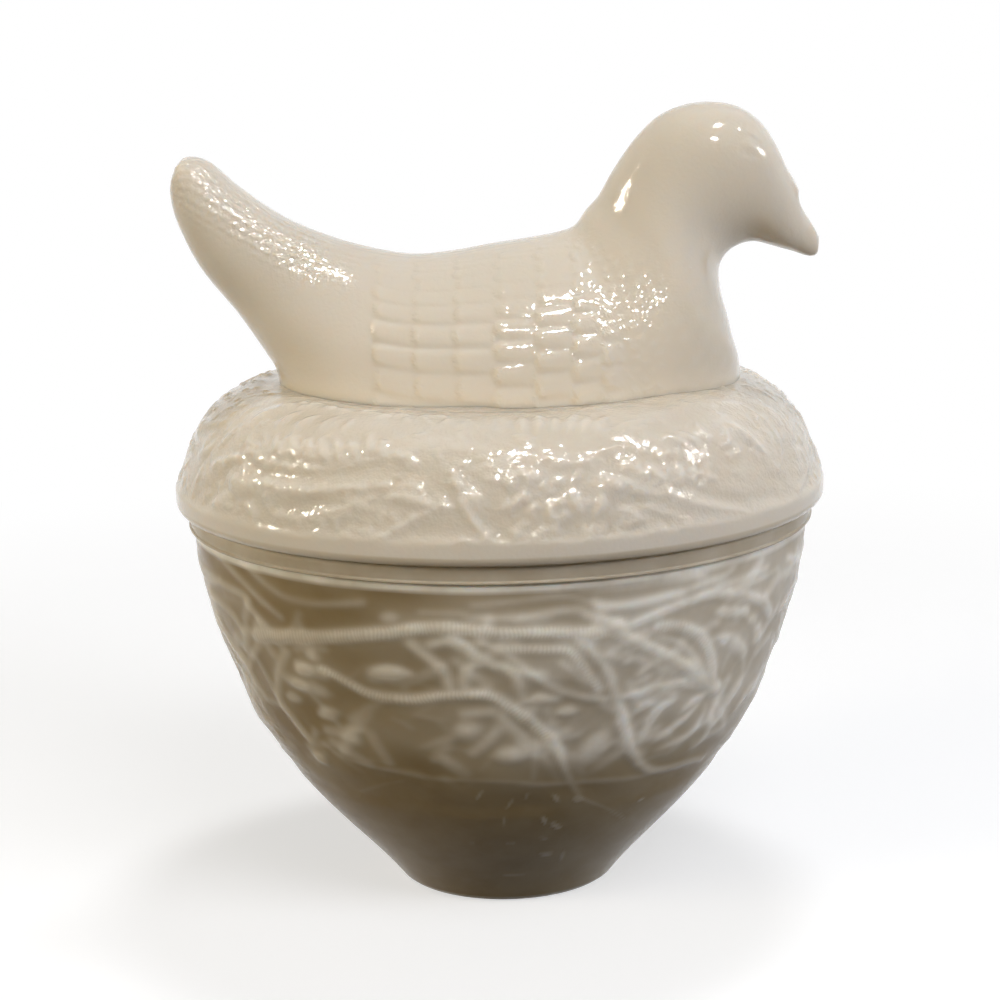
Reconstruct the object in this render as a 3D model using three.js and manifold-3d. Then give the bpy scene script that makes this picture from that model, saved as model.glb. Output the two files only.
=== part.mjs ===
// A pressed milk-glass covered dish: a deep round bowl moulded as a nest, and a cover moulded as the top of
// the nest with a dove-like bird sitting in it. The bird and the cover are one pressing, hollow underneath.
// Units are millimetres, +Z is up, and the origin is the centre of the foot on the table.
import * as THREE from "three";
import { ParametricGeometry } from "three/addons/geometries/ParametricGeometry.js";
import { mergeVertices } from "three/addons/utils/BufferGeometryUtils.js";
import Module from "manifold-3d";

// Bowl
const BOWL_HEIGHT = 80;
const RIM_RADIUS = 63.4;
const RIM_BAND_HEIGHT = 3.4;
const RIM_BAND_STEP = 0.6;
const RIM_ROUNDING = 0.8;
const RIM_WALL = 4.6;
const MOUTH_DEPTH = 8;
const BOWL_WALL = 4.9;
const FOOT_RADIUS = 23.4;
const FOOT_ROUNDING = 2.8;
const FOOT_RING_WIDTH = 7;
const FOOT_RECESS_DEPTH = 1.2;
const FLOOR_THICKNESS = 6.4;

// Cover
const FLANGE_OVERHANG = 2.6;
const FLANGE_HEIGHT = 4.6;
const FLANGE_ROUNDING = 2.1;
const SEAT_GAP = 0.3;
const COLLAR_CLEARANCE = 1;
const COLLAR_DEPTH = 4;
const COLLAR_WALL = 3.4;
const COLLAR_ROUNDING = 0.9;
const NEST_RISE = 25;
const NEST_DISH_DEPTH = 4.4;
const NEST_CEILING = 4;

// Bird, pressed in one with the cover
const BIRD_RISE = 54;
const BIRD_LENGTH = 130.5;
const BIRD_WIDTH = 55;
const BIRD_OFFSET = 0.5;
const BIRD_HOLLOW_LENGTH = 84;
const BIRD_HOLLOW_WIDTH = 43;
const BIRD_HOLLOW_RISE = 28;
const BIRD_HOLLOW_OFFSET = 4;

// Fineness of the faceted surfaces
const TURN_STEPS = 72;
const ARC_STEPS = 3;
const BIRD_LONG_STEPS = 58;
const BIRD_ROUND_STEPS = 28;
const HOLLOW_ROUND_STEPS = 32;
const HOLLOW_HIGH_STEPS = 14;

// The outer wall of the bowl from its foot to below its band: share of the way out from the foot's radius to
// the rim's, then share of the way up from the foot's rounding to the band.
const BOWL_WALL_SHARES = [
  [0.062, 0.028],
  [0.166, 0.09],
  [0.306, 0.17],
  [0.453, 0.26],
  [0.596, 0.362],
  [0.726, 0.478],
  [0.824, 0.607],
  [0.906, 0.736],
  [0.956, 0.84],
  [0.985, 0.93],
];
// The bowl's inside below its wall, down to the middle of the floor: share of the lowest wall point's radius,
// then share of its height over the floor.
const BOWL_FLOOR_SHARES = [
  [0.72, 0.42],
  [0.38, 0.1],
  [0, 0],
];

// The outer slope of the nest: share of the way in from the flange's radius to the crest's, then share of the
// way up from the flange to the crest.
const CREST_RADIUS_SHARE = 0.7;
const NEST_SLOPE_SHARES = [
  [0.035, 0.09],
  [0.09, 0.26],
  [0.17, 0.44],
  [0.26, 0.6],
  [0.36, 0.73],
  [0.49, 0.84],
  [0.67, 0.93],
  [0.85, 0.983],
];
// The dished top of the nest, from its crest in to the middle: share of the crest's radius, then share of the
// dish's depth.
const NEST_DISH_SHARES = [
  [1, 0],
  [0.9, 0.1],
  [0.78, 0.46],
  [0.65, 0.8],
  [0.5, 0.96],
  [0, 1],
];
// The hollow under the nest: share of the hollow's radius, then share of the way up from the seat to its ceiling.
const NEST_HOLLOW_SHARES = [
  [1, 0],
  [0.99, 0.5],
  [0.945, 0.75],
  [0.86, 0.93],
  [0.75, 1],
  [0, 1],
];

// The bird, section by section from the tail to the beak. A section lies between a point on the upper outline
// and a point on the lower outline. Columns: upper x and z, lower x and z, half width, and how far the widest
// place sits below the middle of the section. x is a share of the bird's length from its middle, z a share of
// its rise over the nest's crest, and the width a share of the bird's width.
const BIRD_SECTION_SHARES = [
  [-0.492, 0.794, -0.495, 0.769, 0.03, 0],
  [-0.474, 0.837, -0.499, 0.715, 0.1, 0],
  [-0.443, 0.825, -0.496, 0.647, 0.135, 0],
  [-0.397, 0.73, -0.488, 0.583, 0.17, 0],
  [-0.331, 0.615, -0.459, 0.434, 0.205, 0],
  [-0.26, 0.537, -0.4, 0.247, 0.24, 0.05],
  [-0.188, 0.485, -0.353, 0.074, 0.3, 0.14],
  [-0.126, 0.461, -0.31, -0.078, 0.375, 0.2],
  [-0.065, 0.472, -0.218, -0.162, 0.435, 0.24],
  [-0.004, 0.496, -0.081, -0.194, 0.478, 0.26],
  [0.05, 0.513, 0.058, -0.204, 0.495, 0.28],
  [0.092, 0.532, 0.18, -0.194, 0.483, 0.3],
  [0.119, 0.555, 0.287, -0.153, 0.45, 0.32],
  [0.137, 0.611, 0.349, -0.073, 0.41, 0.34],
  [0.157, 0.664, 0.371, 0.037, 0.368, 0.32],
  [0.175, 0.739, 0.362, 0.139, 0.325, 0.28],
  [0.195, 0.812, 0.353, 0.231, 0.283, 0.2],
  [0.218, 0.883, 0.343, 0.324, 0.25, 0.1],
  [0.251, 0.954, 0.342, 0.398, 0.234, 0.02],
  [0.291, 0.992, 0.355, 0.448, 0.229, -0.04],
  [0.333, 1, 0.375, 0.476, 0.226, -0.06],
  [0.373, 0.979, 0.396, 0.484, 0.218, -0.06],
  [0.404, 0.926, 0.419, 0.47, 0.199, -0.04],
  [0.428, 0.843, 0.437, 0.457, 0.165, 0],
  [0.445, 0.756, 0.453, 0.446, 0.128, 0.02],
  [0.459, 0.678, 0.464, 0.437, 0.097, 0.02],
  [0.468, 0.611, 0.474, 0.428, 0.076, 0],
  [0.481, 0.559, 0.483, 0.424, 0.058, 0],
  [0.493, 0.509, 0.491, 0.428, 0.039, 0],
  [0.499, 0.472, 0.4965, 0.448, 0.015, 0],
];

const seatHeight = BOWL_HEIGHT + SEAT_GAP;
const mouthRadius = RIM_RADIUS - RIM_WALL;
const bandFoot = BOWL_HEIGHT - RIM_BAND_HEIGHT;
const flangeRadius = RIM_RADIUS + FLANGE_OVERHANG;
const flangeTop = seatHeight + FLANGE_HEIGHT;
const collarRadius = mouthRadius - COLLAR_CLEARANCE;
const collarFoot = seatHeight - COLLAR_DEPTH;
const hollowRadius = collarRadius - COLLAR_WALL;
const crestRadius = flangeRadius * CREST_RADIUS_SHARE;
const crestHeight = BOWL_HEIGHT + NEST_RISE;
const dishHeight = crestHeight - NEST_DISH_DEPTH;
const ceilingHeight = dishHeight - NEST_CEILING;

const wasm = await Module();
wasm.setup();

// Merges a closed geometry's shared vertices and drops the triangles that a pole leaves without area.
function closedMesh(geometry) {
  const bare = geometry.clone();
  for (const name of ["normal", "uv"]) bare.deleteAttribute(name);
  const merged = mergeVertices(bare, 1e-4);
  const index = merged.index.array;
  const kept = [];
  for (let i = 0; i < index.length; i += 3) {
    const [a, b, c] = index.slice(i, i + 3);
    if (a !== b && b !== c && c !== a) kept.push(a, b, c);
  }
  merged.setIndex(kept);
  return merged;
}

// A closed geometry as a solid that can be joined and cut.
function solid(geometry) {
  const mesh = closedMesh(geometry);
  return new wasm.Manifold(
    new wasm.Mesh({
      numProp: 3,
      vertProperties: mesh.attributes.position.array,
      triVerts: new Uint32Array(mesh.index.array),
    }),
  );
}

// A joined and cut solid as a geometry again.
function geometryOf(made) {
  const mesh = made.getMesh();
  const geometry = new THREE.BufferGeometry();
  geometry.setAttribute("position", new THREE.BufferAttribute(mesh.vertProperties, 3));
  geometry.setIndex(new THREE.BufferAttribute(mesh.triVerts, 1));
  return geometry;
}

// A profile of [radius, height] points, turned round the Z axis.
function turned(profile) {
  const points = profile.map(([radius, height]) => new THREE.Vector2(radius, height));
  return new THREE.LatheGeometry(points, TURN_STEPS).rotateX(Math.PI / 2);
}

// A rounded edge of a profile: points on a quarter circle that starts at an angle in degrees.
function roundedEdge(radius, height, rounding, fromDegrees) {
  const points = [];
  for (let i = 0; i <= ARC_STEPS; i += 1) {
    const angle = THREE.MathUtils.degToRad(fromDegrees + (90 * i) / ARC_STEPS);
    points.push([radius + rounding * Math.cos(angle), height + rounding * Math.sin(angle)]);
  }
  return points;
}

// The bowl's outer radius and height at a pair of shares.
function bowlPoint([outShare, upShare]) {
  return [
    THREE.MathUtils.lerp(FOOT_RADIUS, RIM_RADIUS - RIM_BAND_STEP, outShare),
    THREE.MathUtils.lerp(FOOT_ROUNDING, bandFoot, upShare),
  ];
}

// The inside of the bowl's wall, from low to high: the outer wall moved in, square to its slope, by its thickness.
function bowlInside() {
  const outside = BOWL_WALL_SHARES.map(bowlPoint);
  const inside = [];
  for (let i = 1; i < outside.length - 1; i += 1) {
    const [run, rise] = [0, 1].map((k) => outside[i + 1][k] - outside[i - 1][k]);
    const slope = Math.hypot(run, rise);
    const radius = outside[i][0] - (BOWL_WALL * rise) / slope;
    const height = outside[i][1] + (BOWL_WALL * run) / slope;
    const overFloor = height > FLOOR_THICKNESS + BOWL_WALL;
    const underMouth = height < BOWL_HEIGHT - MOUTH_DEPTH && radius < mouthRadius;
    if (overFloor && underMouth) inside.push([radius, height]);
  }
  return inside;
}

// The bowl: a recessed foot, the tapering wall, the plain band at the rim and the inside.
function nestBowl() {
  const footFlat = FOOT_RADIUS - FOOT_ROUNDING;
  const recessRadius = footFlat - FOOT_RING_WIDTH;
  const wall = bowlInside();
  const [lowRadius, lowHeight] = wall[0];
  const floor = BOWL_FLOOR_SHARES.map(([outShare, upShare]) => [
    lowRadius * outShare,
    THREE.MathUtils.lerp(FLOOR_THICKNESS, lowHeight, upShare),
  ]);
  return turned([
    [0, FOOT_RECESS_DEPTH],
    [recessRadius - FOOT_RECESS_DEPTH, FOOT_RECESS_DEPTH],
    [recessRadius, 0],
    ...roundedEdge(footFlat, FOOT_ROUNDING, FOOT_ROUNDING, -90),
    ...BOWL_WALL_SHARES.map(bowlPoint),
    [RIM_RADIUS - RIM_BAND_STEP, bandFoot],
    [RIM_RADIUS, bandFoot + RIM_BAND_STEP],
    ...roundedEdge(RIM_RADIUS - RIM_ROUNDING, BOWL_HEIGHT - RIM_ROUNDING, RIM_ROUNDING, 0),
    ...roundedEdge(mouthRadius + RIM_ROUNDING, BOWL_HEIGHT - RIM_ROUNDING, RIM_ROUNDING, 90),
    [mouthRadius, BOWL_HEIGHT - MOUTH_DEPTH],
    ...wall.reverse(),
    ...floor,
  ]);
}

// The cover before it is hollowed: the collar that drops into the bowl's mouth, the flange that sits on the
// rim, the nest's slope and its dished top.
function coverBlock() {
  const slope = NEST_SLOPE_SHARES.map(([inShare, upShare]) => [
    THREE.MathUtils.lerp(flangeRadius, crestRadius, inShare),
    THREE.MathUtils.lerp(flangeTop, crestHeight, upShare),
  ]);
  const dish = NEST_DISH_SHARES.map(([outShare, downShare]) => [
    crestRadius * outShare,
    THREE.MathUtils.lerp(crestHeight, dishHeight, downShare),
  ]);
  return turned([
    [0, collarFoot],
    ...roundedEdge(collarRadius - COLLAR_ROUNDING, collarFoot + COLLAR_ROUNDING, COLLAR_ROUNDING, -90),
    [collarRadius, seatHeight],
    ...roundedEdge(flangeRadius - FLANGE_ROUNDING, seatHeight + FLANGE_ROUNDING, FLANGE_ROUNDING, -90),
    [flangeRadius, flangeTop],
    ...slope,
    ...dish,
  ]);
}

// The round hollow under the nest, open at the bottom.
function nestHollow() {
  const inside = NEST_HOLLOW_SHARES.map(([outShare, upShare]) => [
    hollowRadius * outShare,
    THREE.MathUtils.lerp(seatHeight, ceilingHeight, upShare),
  ]);
  const below = collarFoot - COLLAR_DEPTH;
  return turned([[0, below], [hollowRadius, below], ...inside]);
}

// The hollow that rises from there into the bird's body: the upper half of a ball stretched to three sizes.
function birdHollow() {
  const unit = new THREE.SphereGeometry(1, HOLLOW_ROUND_STEPS, HOLLOW_HIGH_STEPS);
  unit.rotateX(Math.PI / 2);
  unit.scale(BIRD_HOLLOW_LENGTH / 2, BIRD_HOLLOW_WIDTH / 2, BIRD_HOLLOW_RISE);
  return unit.translate(BIRD_HOLLOW_OFFSET, 0, ceilingHeight);
}

// A spline through the bird's sections. Its x and y are the outline's x and height, its z is a third value.
function birdSpline(rows) {
  return new THREE.CatmullRomCurve3(
    rows.map(
      ([lengthShare, riseShare, third]) =>
        new THREE.Vector3(
          BIRD_OFFSET + BIRD_LENGTH * lengthShare,
          crestHeight + BIRD_RISE * riseShare,
          third,
        ),
    ),
  );
}

// The bird as a loft. Along it, two splines give the upper and the lower outline. Round a section, the height
// swings from the one to the other while the width swells and closes again. Each end closes in a point.
function bird() {
  const upper = birdSpline(BIRD_SECTION_SHARES.map(([x, z, , , width]) => [x, z, BIRD_WIDTH * width]));
  const lower = birdSpline(BIRD_SECTION_SHARES.map(([, , x, z, , sag]) => [x, z, sag]));
  const surface = (u, v, target) => {
    const along = THREE.MathUtils.clamp(u, 0, 1);
    const top = upper.getPoint(along);
    const bottom = lower.getPoint(along);
    const angle = 2 * Math.PI * v;
    const atEnd = u <= 0 || u >= 1;
    const swing = atEnd ? 0.5 : (1 + Math.cos(angle)) / 2;
    const width = atEnd ? 0 : top.z * Math.sin(angle) * (1 - bottom.z * Math.cos(angle));
    target.set(
      THREE.MathUtils.lerp(bottom.x, top.x, swing),
      width,
      THREE.MathUtils.lerp(bottom.y, top.y, swing),
    );
  };
  return new ParametricGeometry(surface, BIRD_LONG_STEPS, BIRD_ROUND_STEPS);
}

// The cover and the bird in one piece, hollowed from below.
function birdLid() {
  const outside = solid(coverBlock()).add(solid(bird()));
  const hollow = solid(nestHollow()).add(solid(birdHollow()));
  return geometryOf(outside.subtract(hollow));
}

function milkGlass(name, colour) {
  return new THREE.MeshStandardMaterial({ name, color: colour, roughness: 0.16, metalness: 0 });
}

function piece(name, geometry, material) {
  const mesh = new THREE.Mesh(geometry, material);
  mesh.name = name;
  return mesh;
}

const dish = new THREE.Group();
dish.name = "bird_on_nest_dish";
dish.add(piece("nest_bowl", closedMesh(nestBowl()), milkGlass("bowl_milk_glass", 0xd2c8b4)));
dish.add(piece("bird_lid", birdLid(), milkGlass("cover_milk_glass", 0xe2dccf)));

export default dish;
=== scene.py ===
# %% [markdown]
# # A milk-glass dish with a bird on its nest
# The dish is two pieces of pressed opaque glass: a deep bowl moulded as a nest of twigs, and a cover moulded
# as the top of the nest with a bird sitting in it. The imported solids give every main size. This lesson
# dresses them with the relief that the mould left: twigs, leaves, straw and feathers. The solids stay as
# they are, and finer surfaces of the same size stand in their place, because relief this fine needs far more
# faces.

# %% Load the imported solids
import math

import bpy
import numpy as np
from mathutils import Matrix


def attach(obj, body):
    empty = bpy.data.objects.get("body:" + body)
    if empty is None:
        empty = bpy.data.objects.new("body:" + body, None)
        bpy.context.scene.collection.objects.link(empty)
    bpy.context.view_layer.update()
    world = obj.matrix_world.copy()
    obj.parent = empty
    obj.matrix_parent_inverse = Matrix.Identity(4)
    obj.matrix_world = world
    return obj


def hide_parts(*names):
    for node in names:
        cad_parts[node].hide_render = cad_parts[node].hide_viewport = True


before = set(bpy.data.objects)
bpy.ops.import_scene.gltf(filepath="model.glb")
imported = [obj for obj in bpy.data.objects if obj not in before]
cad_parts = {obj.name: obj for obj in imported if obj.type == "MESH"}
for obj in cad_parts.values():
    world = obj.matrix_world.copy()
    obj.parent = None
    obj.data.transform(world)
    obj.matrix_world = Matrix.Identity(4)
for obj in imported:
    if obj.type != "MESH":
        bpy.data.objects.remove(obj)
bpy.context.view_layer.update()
MM = 0.001

# %% [markdown]
# ## The camera
# The picture was taken from a little above the dish, with the camera turned slightly to one side. The place,
# the tilt and the lens come from the ovals that the rim, the flange and the foot make in the picture. The
# same numbers also turn an image point into a ray, so that a twig read from the picture can be laid on the
# bowl.

# %% Camera and image rays
CAMERA_PLACE = np.array([0.0, -480.0, 181.8])
CAMERA_PITCH = math.radians(-12.105)
CAMERA_ROLL = math.radians(-1.182)
LENS = 85.85
SENSOR = 36.0
IMAGE_SIZE = 1000

ahead = np.array([0.0, math.cos(CAMERA_PITCH), math.sin(CAMERA_PITCH)])
level_right = np.array([1.0, 0.0, 0.0])
level_up = np.cross(level_right, ahead)
right = level_right * math.cos(CAMERA_ROLL) + level_up * math.sin(CAMERA_ROLL)
up = level_up * math.cos(CAMERA_ROLL) - level_right * math.sin(CAMERA_ROLL)

camera_data = bpy.data.cameras.new("camera")
camera_data.lens = LENS
camera_data.sensor_width = SENSOR
camera_data.clip_end = 50.0
camera = bpy.data.objects.new("camera", camera_data)
camera.matrix_world = Matrix(
    [[right[i], up[i], -ahead[i], CAMERA_PLACE[i] * MM] for i in range(3)] + [[0, 0, 0, 1]]
)
bpy.context.collection.objects.link(camera)
bpy.context.scene.camera = camera


def image_rays(pixels):
    """Directions of the rays through image points: ahead, plus the point's offset from the image's middle
    over the lens."""
    pixels = np.asarray(pixels, float)
    focal = LENS / SENSOR * IMAGE_SIZE
    sideways = (pixels[:, 0] - IMAGE_SIZE / 2) / focal
    upwards = (IMAGE_SIZE / 2 - pixels[:, 1]) / focal
    return ahead + sideways[:, None] * right + upwards[:, None] * up


print("camera", np.round(CAMERA_PLACE, 1), "mm, lens", LENS, "mm")

# %% [markdown]
# ## Curves and closed meshes
# Every outline here is a smooth curve through a few named points, and every piece is a stack of rings of
# points. Rings of the same count are sewn with four-sided faces. Where the surface is plain, a ring may have
# a quarter as many points, which saves faces for the relief.

# %% Helpers for curves and rings
BOWL_COLUMNS = 540
NEST_COLUMNS = 768
DOME_COLUMNS = 180
INSIDE_SPACING = 2.6


def smooth(points, where):
    """A curve through points. On each stretch it is a cubic whose end slopes come from the neighbouring
    points, weighed by the square root of their distances. where counts stretches from the first point."""
    points = np.asarray(points, float)
    padded = np.vstack([2 * points[0] - points[1], points, 2 * points[-1] - points[-2]])
    gap = np.sqrt(np.linalg.norm(np.diff(padded, axis=0), axis=1))[:, None]
    where = np.asarray(where, float)
    i = np.clip(where.astype(int), 0, len(points) - 2)
    t = (where - i)[:, None]
    p0, p1, p2, p3 = (padded[i + k] for k in range(4))
    g0, g1, g2 = (gap[i + k] for k in range(3))
    slope1 = ((p1 - p0) / g0 - (p2 - p0) / (g0 + g1) + (p2 - p1) / g1) * g1
    slope2 = ((p2 - p1) / g1 - (p3 - p1) / (g1 + g2) + (p3 - p2) / g2) * g1
    rest = p2 - p1
    return p1 + t * slope1 + t**2 * (3 * rest - 2 * slope1 - slope2) + t**3 * (slope1 + slope2 - 2 * rest)


def smooth_line(points, per_stretch=12):
    """The curve through points at many even places of each stretch."""
    return smooth(points, np.linspace(0, len(points) - 1, (len(points) - 1) * per_stretch + 1))


def length_along(line):
    """Distance travelled along a line of points, from its first point to each point."""
    return np.concatenate([[0], np.cumsum(np.linalg.norm(np.diff(line, axis=0), axis=1))])


def spaced(line, spacing):
    """Points along a line at even distances of about the given spacing."""
    travelled = length_along(line)
    count = max(2, int(round(travelled[-1] / spacing)) + 1)
    places = np.linspace(0, travelled[-1], count)
    return np.stack([np.interp(places, travelled, line[:, k]) for k in range(line.shape[1])], axis=1)


def arc(centre, rounding, start, end, steps):
    """Points on part of a circle, between two angles in degrees."""
    turn = np.radians(np.linspace(start, end, steps + 1))
    return np.array(centre) + rounding * np.stack([np.cos(turn), np.sin(turn)], axis=1)


def ring_quads(first, rings, count):
    """Four-sided faces of a stack of closed rings whose points are numbered ring after ring."""
    start = np.arange(rings - 1)[:, None] * count + first
    here = np.arange(count)[None, :]
    after = (here + 1) % count
    corners = [start + here, start + after, start + count + after, start + count + here]
    return np.stack(corners, axis=-1).reshape(-1, 4)


def ring_bridge(fine_first, coarse_first, coarse, fine_is_first):
    """Triangles between a coarse ring and one with four times its points: two to a coarse point, one between,
    and two to the next."""
    group = np.arange(coarse)
    near = coarse_first + group
    far = coarse_first + (group + 1) % coarse
    fine = [fine_first + (group * 4 + k) % (4 * coarse) for k in range(5)]
    triangles = [
        [fine[0], fine[1], near],
        [fine[1], fine[2], near],
        [fine[2], far, near],
        [fine[2], fine[3], far],
        [fine[3], fine[4], far],
    ]
    joined = np.concatenate([np.stack(corners, axis=1) for corners in triangles])
    return joined if fine_is_first else joined[:, ::-1]


def ring_cap(pole, first, count, pole_is_first):
    """Triangles between one point and a ring."""
    here = np.arange(count)
    after = (here + 1) % count
    fan = np.stack([first + here, first + after, np.full(count, pole)], axis=1)
    return fan[:, ::-1] if pole_is_first else fan


def new_piece(name, points, quads, triangles, values=None):
    """A smooth-shaded mesh object from points in millimetres, its faces and any named value per point."""
    corners = np.concatenate([quads.ravel(), triangles.ravel()]).astype(np.int32)
    sizes = np.concatenate([np.full(len(quads), 4), np.full(len(triangles), 3)])
    starts = np.concatenate([[0], np.cumsum(sizes)[:-1]]).astype(np.int32)
    mesh = bpy.data.meshes.new(name)
    mesh.vertices.add(len(points))
    mesh.vertices.foreach_set("co", (np.asarray(points) * MM).astype(np.float32).ravel())
    mesh.loops.add(len(corners))
    mesh.loops.foreach_set("vertex_index", corners)
    mesh.polygons.add(len(sizes))
    mesh.polygons.foreach_set("loop_start", starts)
    mesh.polygons.foreach_set("use_smooth", np.ones(len(sizes), dtype=bool))
    for key, value in (values or {}).items():
        layer = mesh.attributes.new(key, "FLOAT", "POINT")
        layer.data.foreach_set("value", np.asarray(value, dtype=np.float32).ravel())
    mesh.update(calc_edges=True)
    mesh.validate()
    piece = bpy.data.objects.new(name, mesh)
    bpy.context.collection.objects.link(piece)
    print(name, "has", len(points), "points and", 2 * len(quads) + len(triangles), "triangles")
    return piece


def turned_points(profile, count, lift=0.0):
    """Rings of points round the Z axis from a profile of radius and height. Angle 0 faces the camera. Lift
    moves a point outwards, square to the profile."""
    slope = np.gradient(profile, axis=0)
    slope /= np.linalg.norm(slope, axis=1)[:, None] + 1e-9
    radius = profile[:, :1] + slope[:, 1:] * lift
    height = profile[:, 1:] - slope[:, :1] * lift
    turn = np.arange(count) * 2 * np.pi / count
    spread = np.broadcast_to(height, np.broadcast_shapes(radius.shape, (1, count)))
    return np.stack([radius * np.sin(turn), -radius * np.cos(turn), spread], axis=-1).reshape(-1, 3)


# %% [markdown]
# ## Relief on a turned surface
# A twig in the mould is a rounded groove, so on the glass it is a rounded ridge along a path. The paths are
# read from the picture, in image points, and each is sent along the camera's rays until it meets the
# bowl or the cover. A ridge's height at a place depends only on how far that place is from the path, so
# ridges can cross and join freely, and the highest one wins.

# %% Helpers for relief
IMAGE_POINTS_PER_MM = 4.9
NEAREST_DEPTH, FARTHEST_DEPTH, DEPTH_STEP = 380.0, 560.0, 0.25
BACK = math.pi
TWIG, HATCHED, LEAF, MOUND = "twig", "hatched", "leaf", "mound"
STEEPNESS = {TWIG: 1.5, HATCHED: 1.3, LEAF: 1.2, MOUND: 2.0}


def read_path(text):
    """Points of a path, written as x,y pairs."""
    return np.array([[float(v) for v in pair.split(",")] for pair in text.split()])


def read_ridges(text):
    """Ridges from a table. A row starts with its kind, and may run on over more lines. Then come its width,
    or the widths at both ends, its lift as a share of the width, and its path. A line that starts with # is
    a note. Gives kind, both widths, lift and path for each row."""
    words = [word for line in text.splitlines() if not line.startswith("#") for word in line.split()]
    starts = [i for i, word in enumerate(words) if word in STEEPNESS] + [len(words)]
    rows = []
    for start, end in zip(starts, starts[1:]):
        kind, widths, lift, *path = words[start:end]
        widths = [float(v) for v in widths.split("-")]
        rows.append((kind, widths[0], widths[-1], float(lift), read_path(" ".join(path))))
    return rows


def laid_on(pixels, profile):
    """Where rays through image points first meet a turned surface: the angle round its axis and the length
    along its profile. A ray that passes it by counts where it comes closest."""
    rays = image_rays(pixels)
    depth = np.arange(NEAREST_DEPTH, FARTHEST_DEPTH, DEPTH_STEP)
    places = CAMERA_PLACE + rays[:, None, :] * depth[None, :, None]
    outline = np.interp(places[..., 2], profile[:, 1], profile[:, 0], left=-1e3, right=-1e3)
    inside = outline - np.hypot(places[..., 0], places[..., 1])
    hit = np.where((inside > 0).any(axis=1), np.argmax(inside > 0, axis=1), np.argmax(inside, axis=1))
    hit = np.maximum(hit, 1)
    row = np.arange(len(hit))
    before, after = inside[row, hit - 1], inside[row, hit]
    share = np.clip(before / np.where(before == after, 1, before - after), 0, 1)[:, None]
    met = places[row, hit - 1] * (1 - share) + places[row, hit] * share
    angle = np.arctan2(met[:, 0], -met[:, 1])
    return np.stack([angle, np.interp(met[:, 2], profile[:, 1], length_along(profile))], axis=1)


def new_relief(profile, count):
    """Empty relief for a turned surface: height in mm, and for the hatching a strength and a length along."""
    shape = (len(profile), count)
    relief = {"height": np.zeros(shape), "hatch": np.zeros(shape), "along": np.zeros(shape)}
    relief["angle"] = np.arange(count) * 2 * np.pi / count
    relief["radius"] = profile[:, 0]
    relief["length"] = length_along(profile)
    return relief


def add_ridge(relief, path, kind, wide, wide_end, lift, turn=0.0):
    """Adds a ridge along a path of angles and lengths. With q the distance from the path over the half width,
    the height is lift times the width times (1 - q^2)^n. The steepness n belongs to the kind: a leaf or twig
    is round, and a mound is a bell. The width changes evenly along the path, but a leaf's swells and closes
    as a half wave. A hatched twig also keeps its strength, 1 - q^4, and the length along it."""
    line = smooth_line(path, 6)
    middle = line[:, 0].mean()
    margin = max(wide, wide_end)
    above = relief["length"] > line[:, 1].min() - margin
    below = relief["length"] < line[:, 1].max() + margin
    rows = np.where(above & below)[0]
    if len(rows) == 0:
        return
    off = (relief["angle"] - middle - turn + np.pi) % (2 * np.pi) - np.pi
    reach = np.abs(line[:, 0] - middle).max() + margin / relief["radius"][rows].min()
    columns = np.where(np.abs(off) < reach)[0]
    window = np.ix_(rows, columns)
    radius = np.repeat(relief["radius"][rows], len(columns))[:, None]
    across = np.tile(off[columns], len(rows))[:, None]
    upward = np.repeat(relief["length"][rows], len(columns))[:, None]
    start, step = line[:-1], np.diff(line, axis=0)
    gap_x = (across - (start[:, 0] - middle)) * radius
    gap_y = upward - start[:, 1]
    step_x = step[:, 0] * radius
    step_y = np.broadcast_to(step[:, 1], step_x.shape)
    size = step_x**2 + step_y**2 + 1e-12
    share = np.clip((gap_x * step_x + gap_y * step_y) / size, 0, 1)
    distance = np.hypot(gap_x - share * step_x, gap_y - share * step_y)
    nearest = np.argmin(distance, axis=1)
    pick = (np.arange(len(nearest)), nearest)
    flat = np.stack([line[:, 0] * relief["radius"][rows].mean(), line[:, 1]], axis=1)
    travelled = length_along(flat)
    along = travelled[nearest] + share[pick] * np.diff(travelled)[nearest]
    part = along / travelled[-1]
    width = wide + (wide_end - wide) * part
    if kind == LEAF:
        width = wide * np.sin(np.pi * np.clip(part, 0.02, 0.98)) ** 0.6
    q = np.clip(2 * distance[pick] / np.maximum(width, 1e-6), 0, 1)
    height = (lift * width * (1 - q**2) ** STEEPNESS[kind]).reshape(len(rows), len(columns))
    wins = height > relief["height"][window]
    relief["height"][window] = np.where(wins, height, relief["height"][window])
    strength = (1 - q**4).reshape(height.shape) if kind == HATCHED else 0.0 * height
    relief["hatch"][window] = np.where(wins, strength, relief["hatch"][window])
    relief["along"][window] = np.where(wins, along.reshape(height.shape), relief["along"][window])


def add_image_ridges(relief, profile, table, wider=1.0, taller=1.0, turns=(0.0, BACK)):
    """Adds the ridges of a table whose widths and paths are in image points, once for each turn. wider and
    taller stretch all of them."""
    for kind, wide, wide_end, lift, pixels in read_ridges(table):
        path = laid_on(pixels, profile)
        start, end = wide * wider / IMAGE_POINTS_PER_MM, wide_end * wider / IMAGE_POINTS_PER_MM
        for turn in turns:
            add_ridge(relief, path, kind, start, end, lift * taller / wider, turn)


def fire_polished(values, passes):
    """Values per ring and column, softened. In each pass a value becomes half itself and a quarter each of
    its two neighbours, first round the rings and then across them."""
    for i in range(passes):
        values = (np.roll(values, 1, axis=1) + 2 * values + np.roll(values, -1, axis=1)) / 4
        padded = np.vstack([values[:1], values, values[-1:]])
        values = (padded[:-2] + 2 * values + padded[2:]) / 4
    return values


def ramp(value, low, high):
    """Rises smoothly from 0 at low to 1 at high."""
    t = np.clip((value - low) / (high - low), 0, 1)
    return t * t * (3 - 2 * t)


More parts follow.
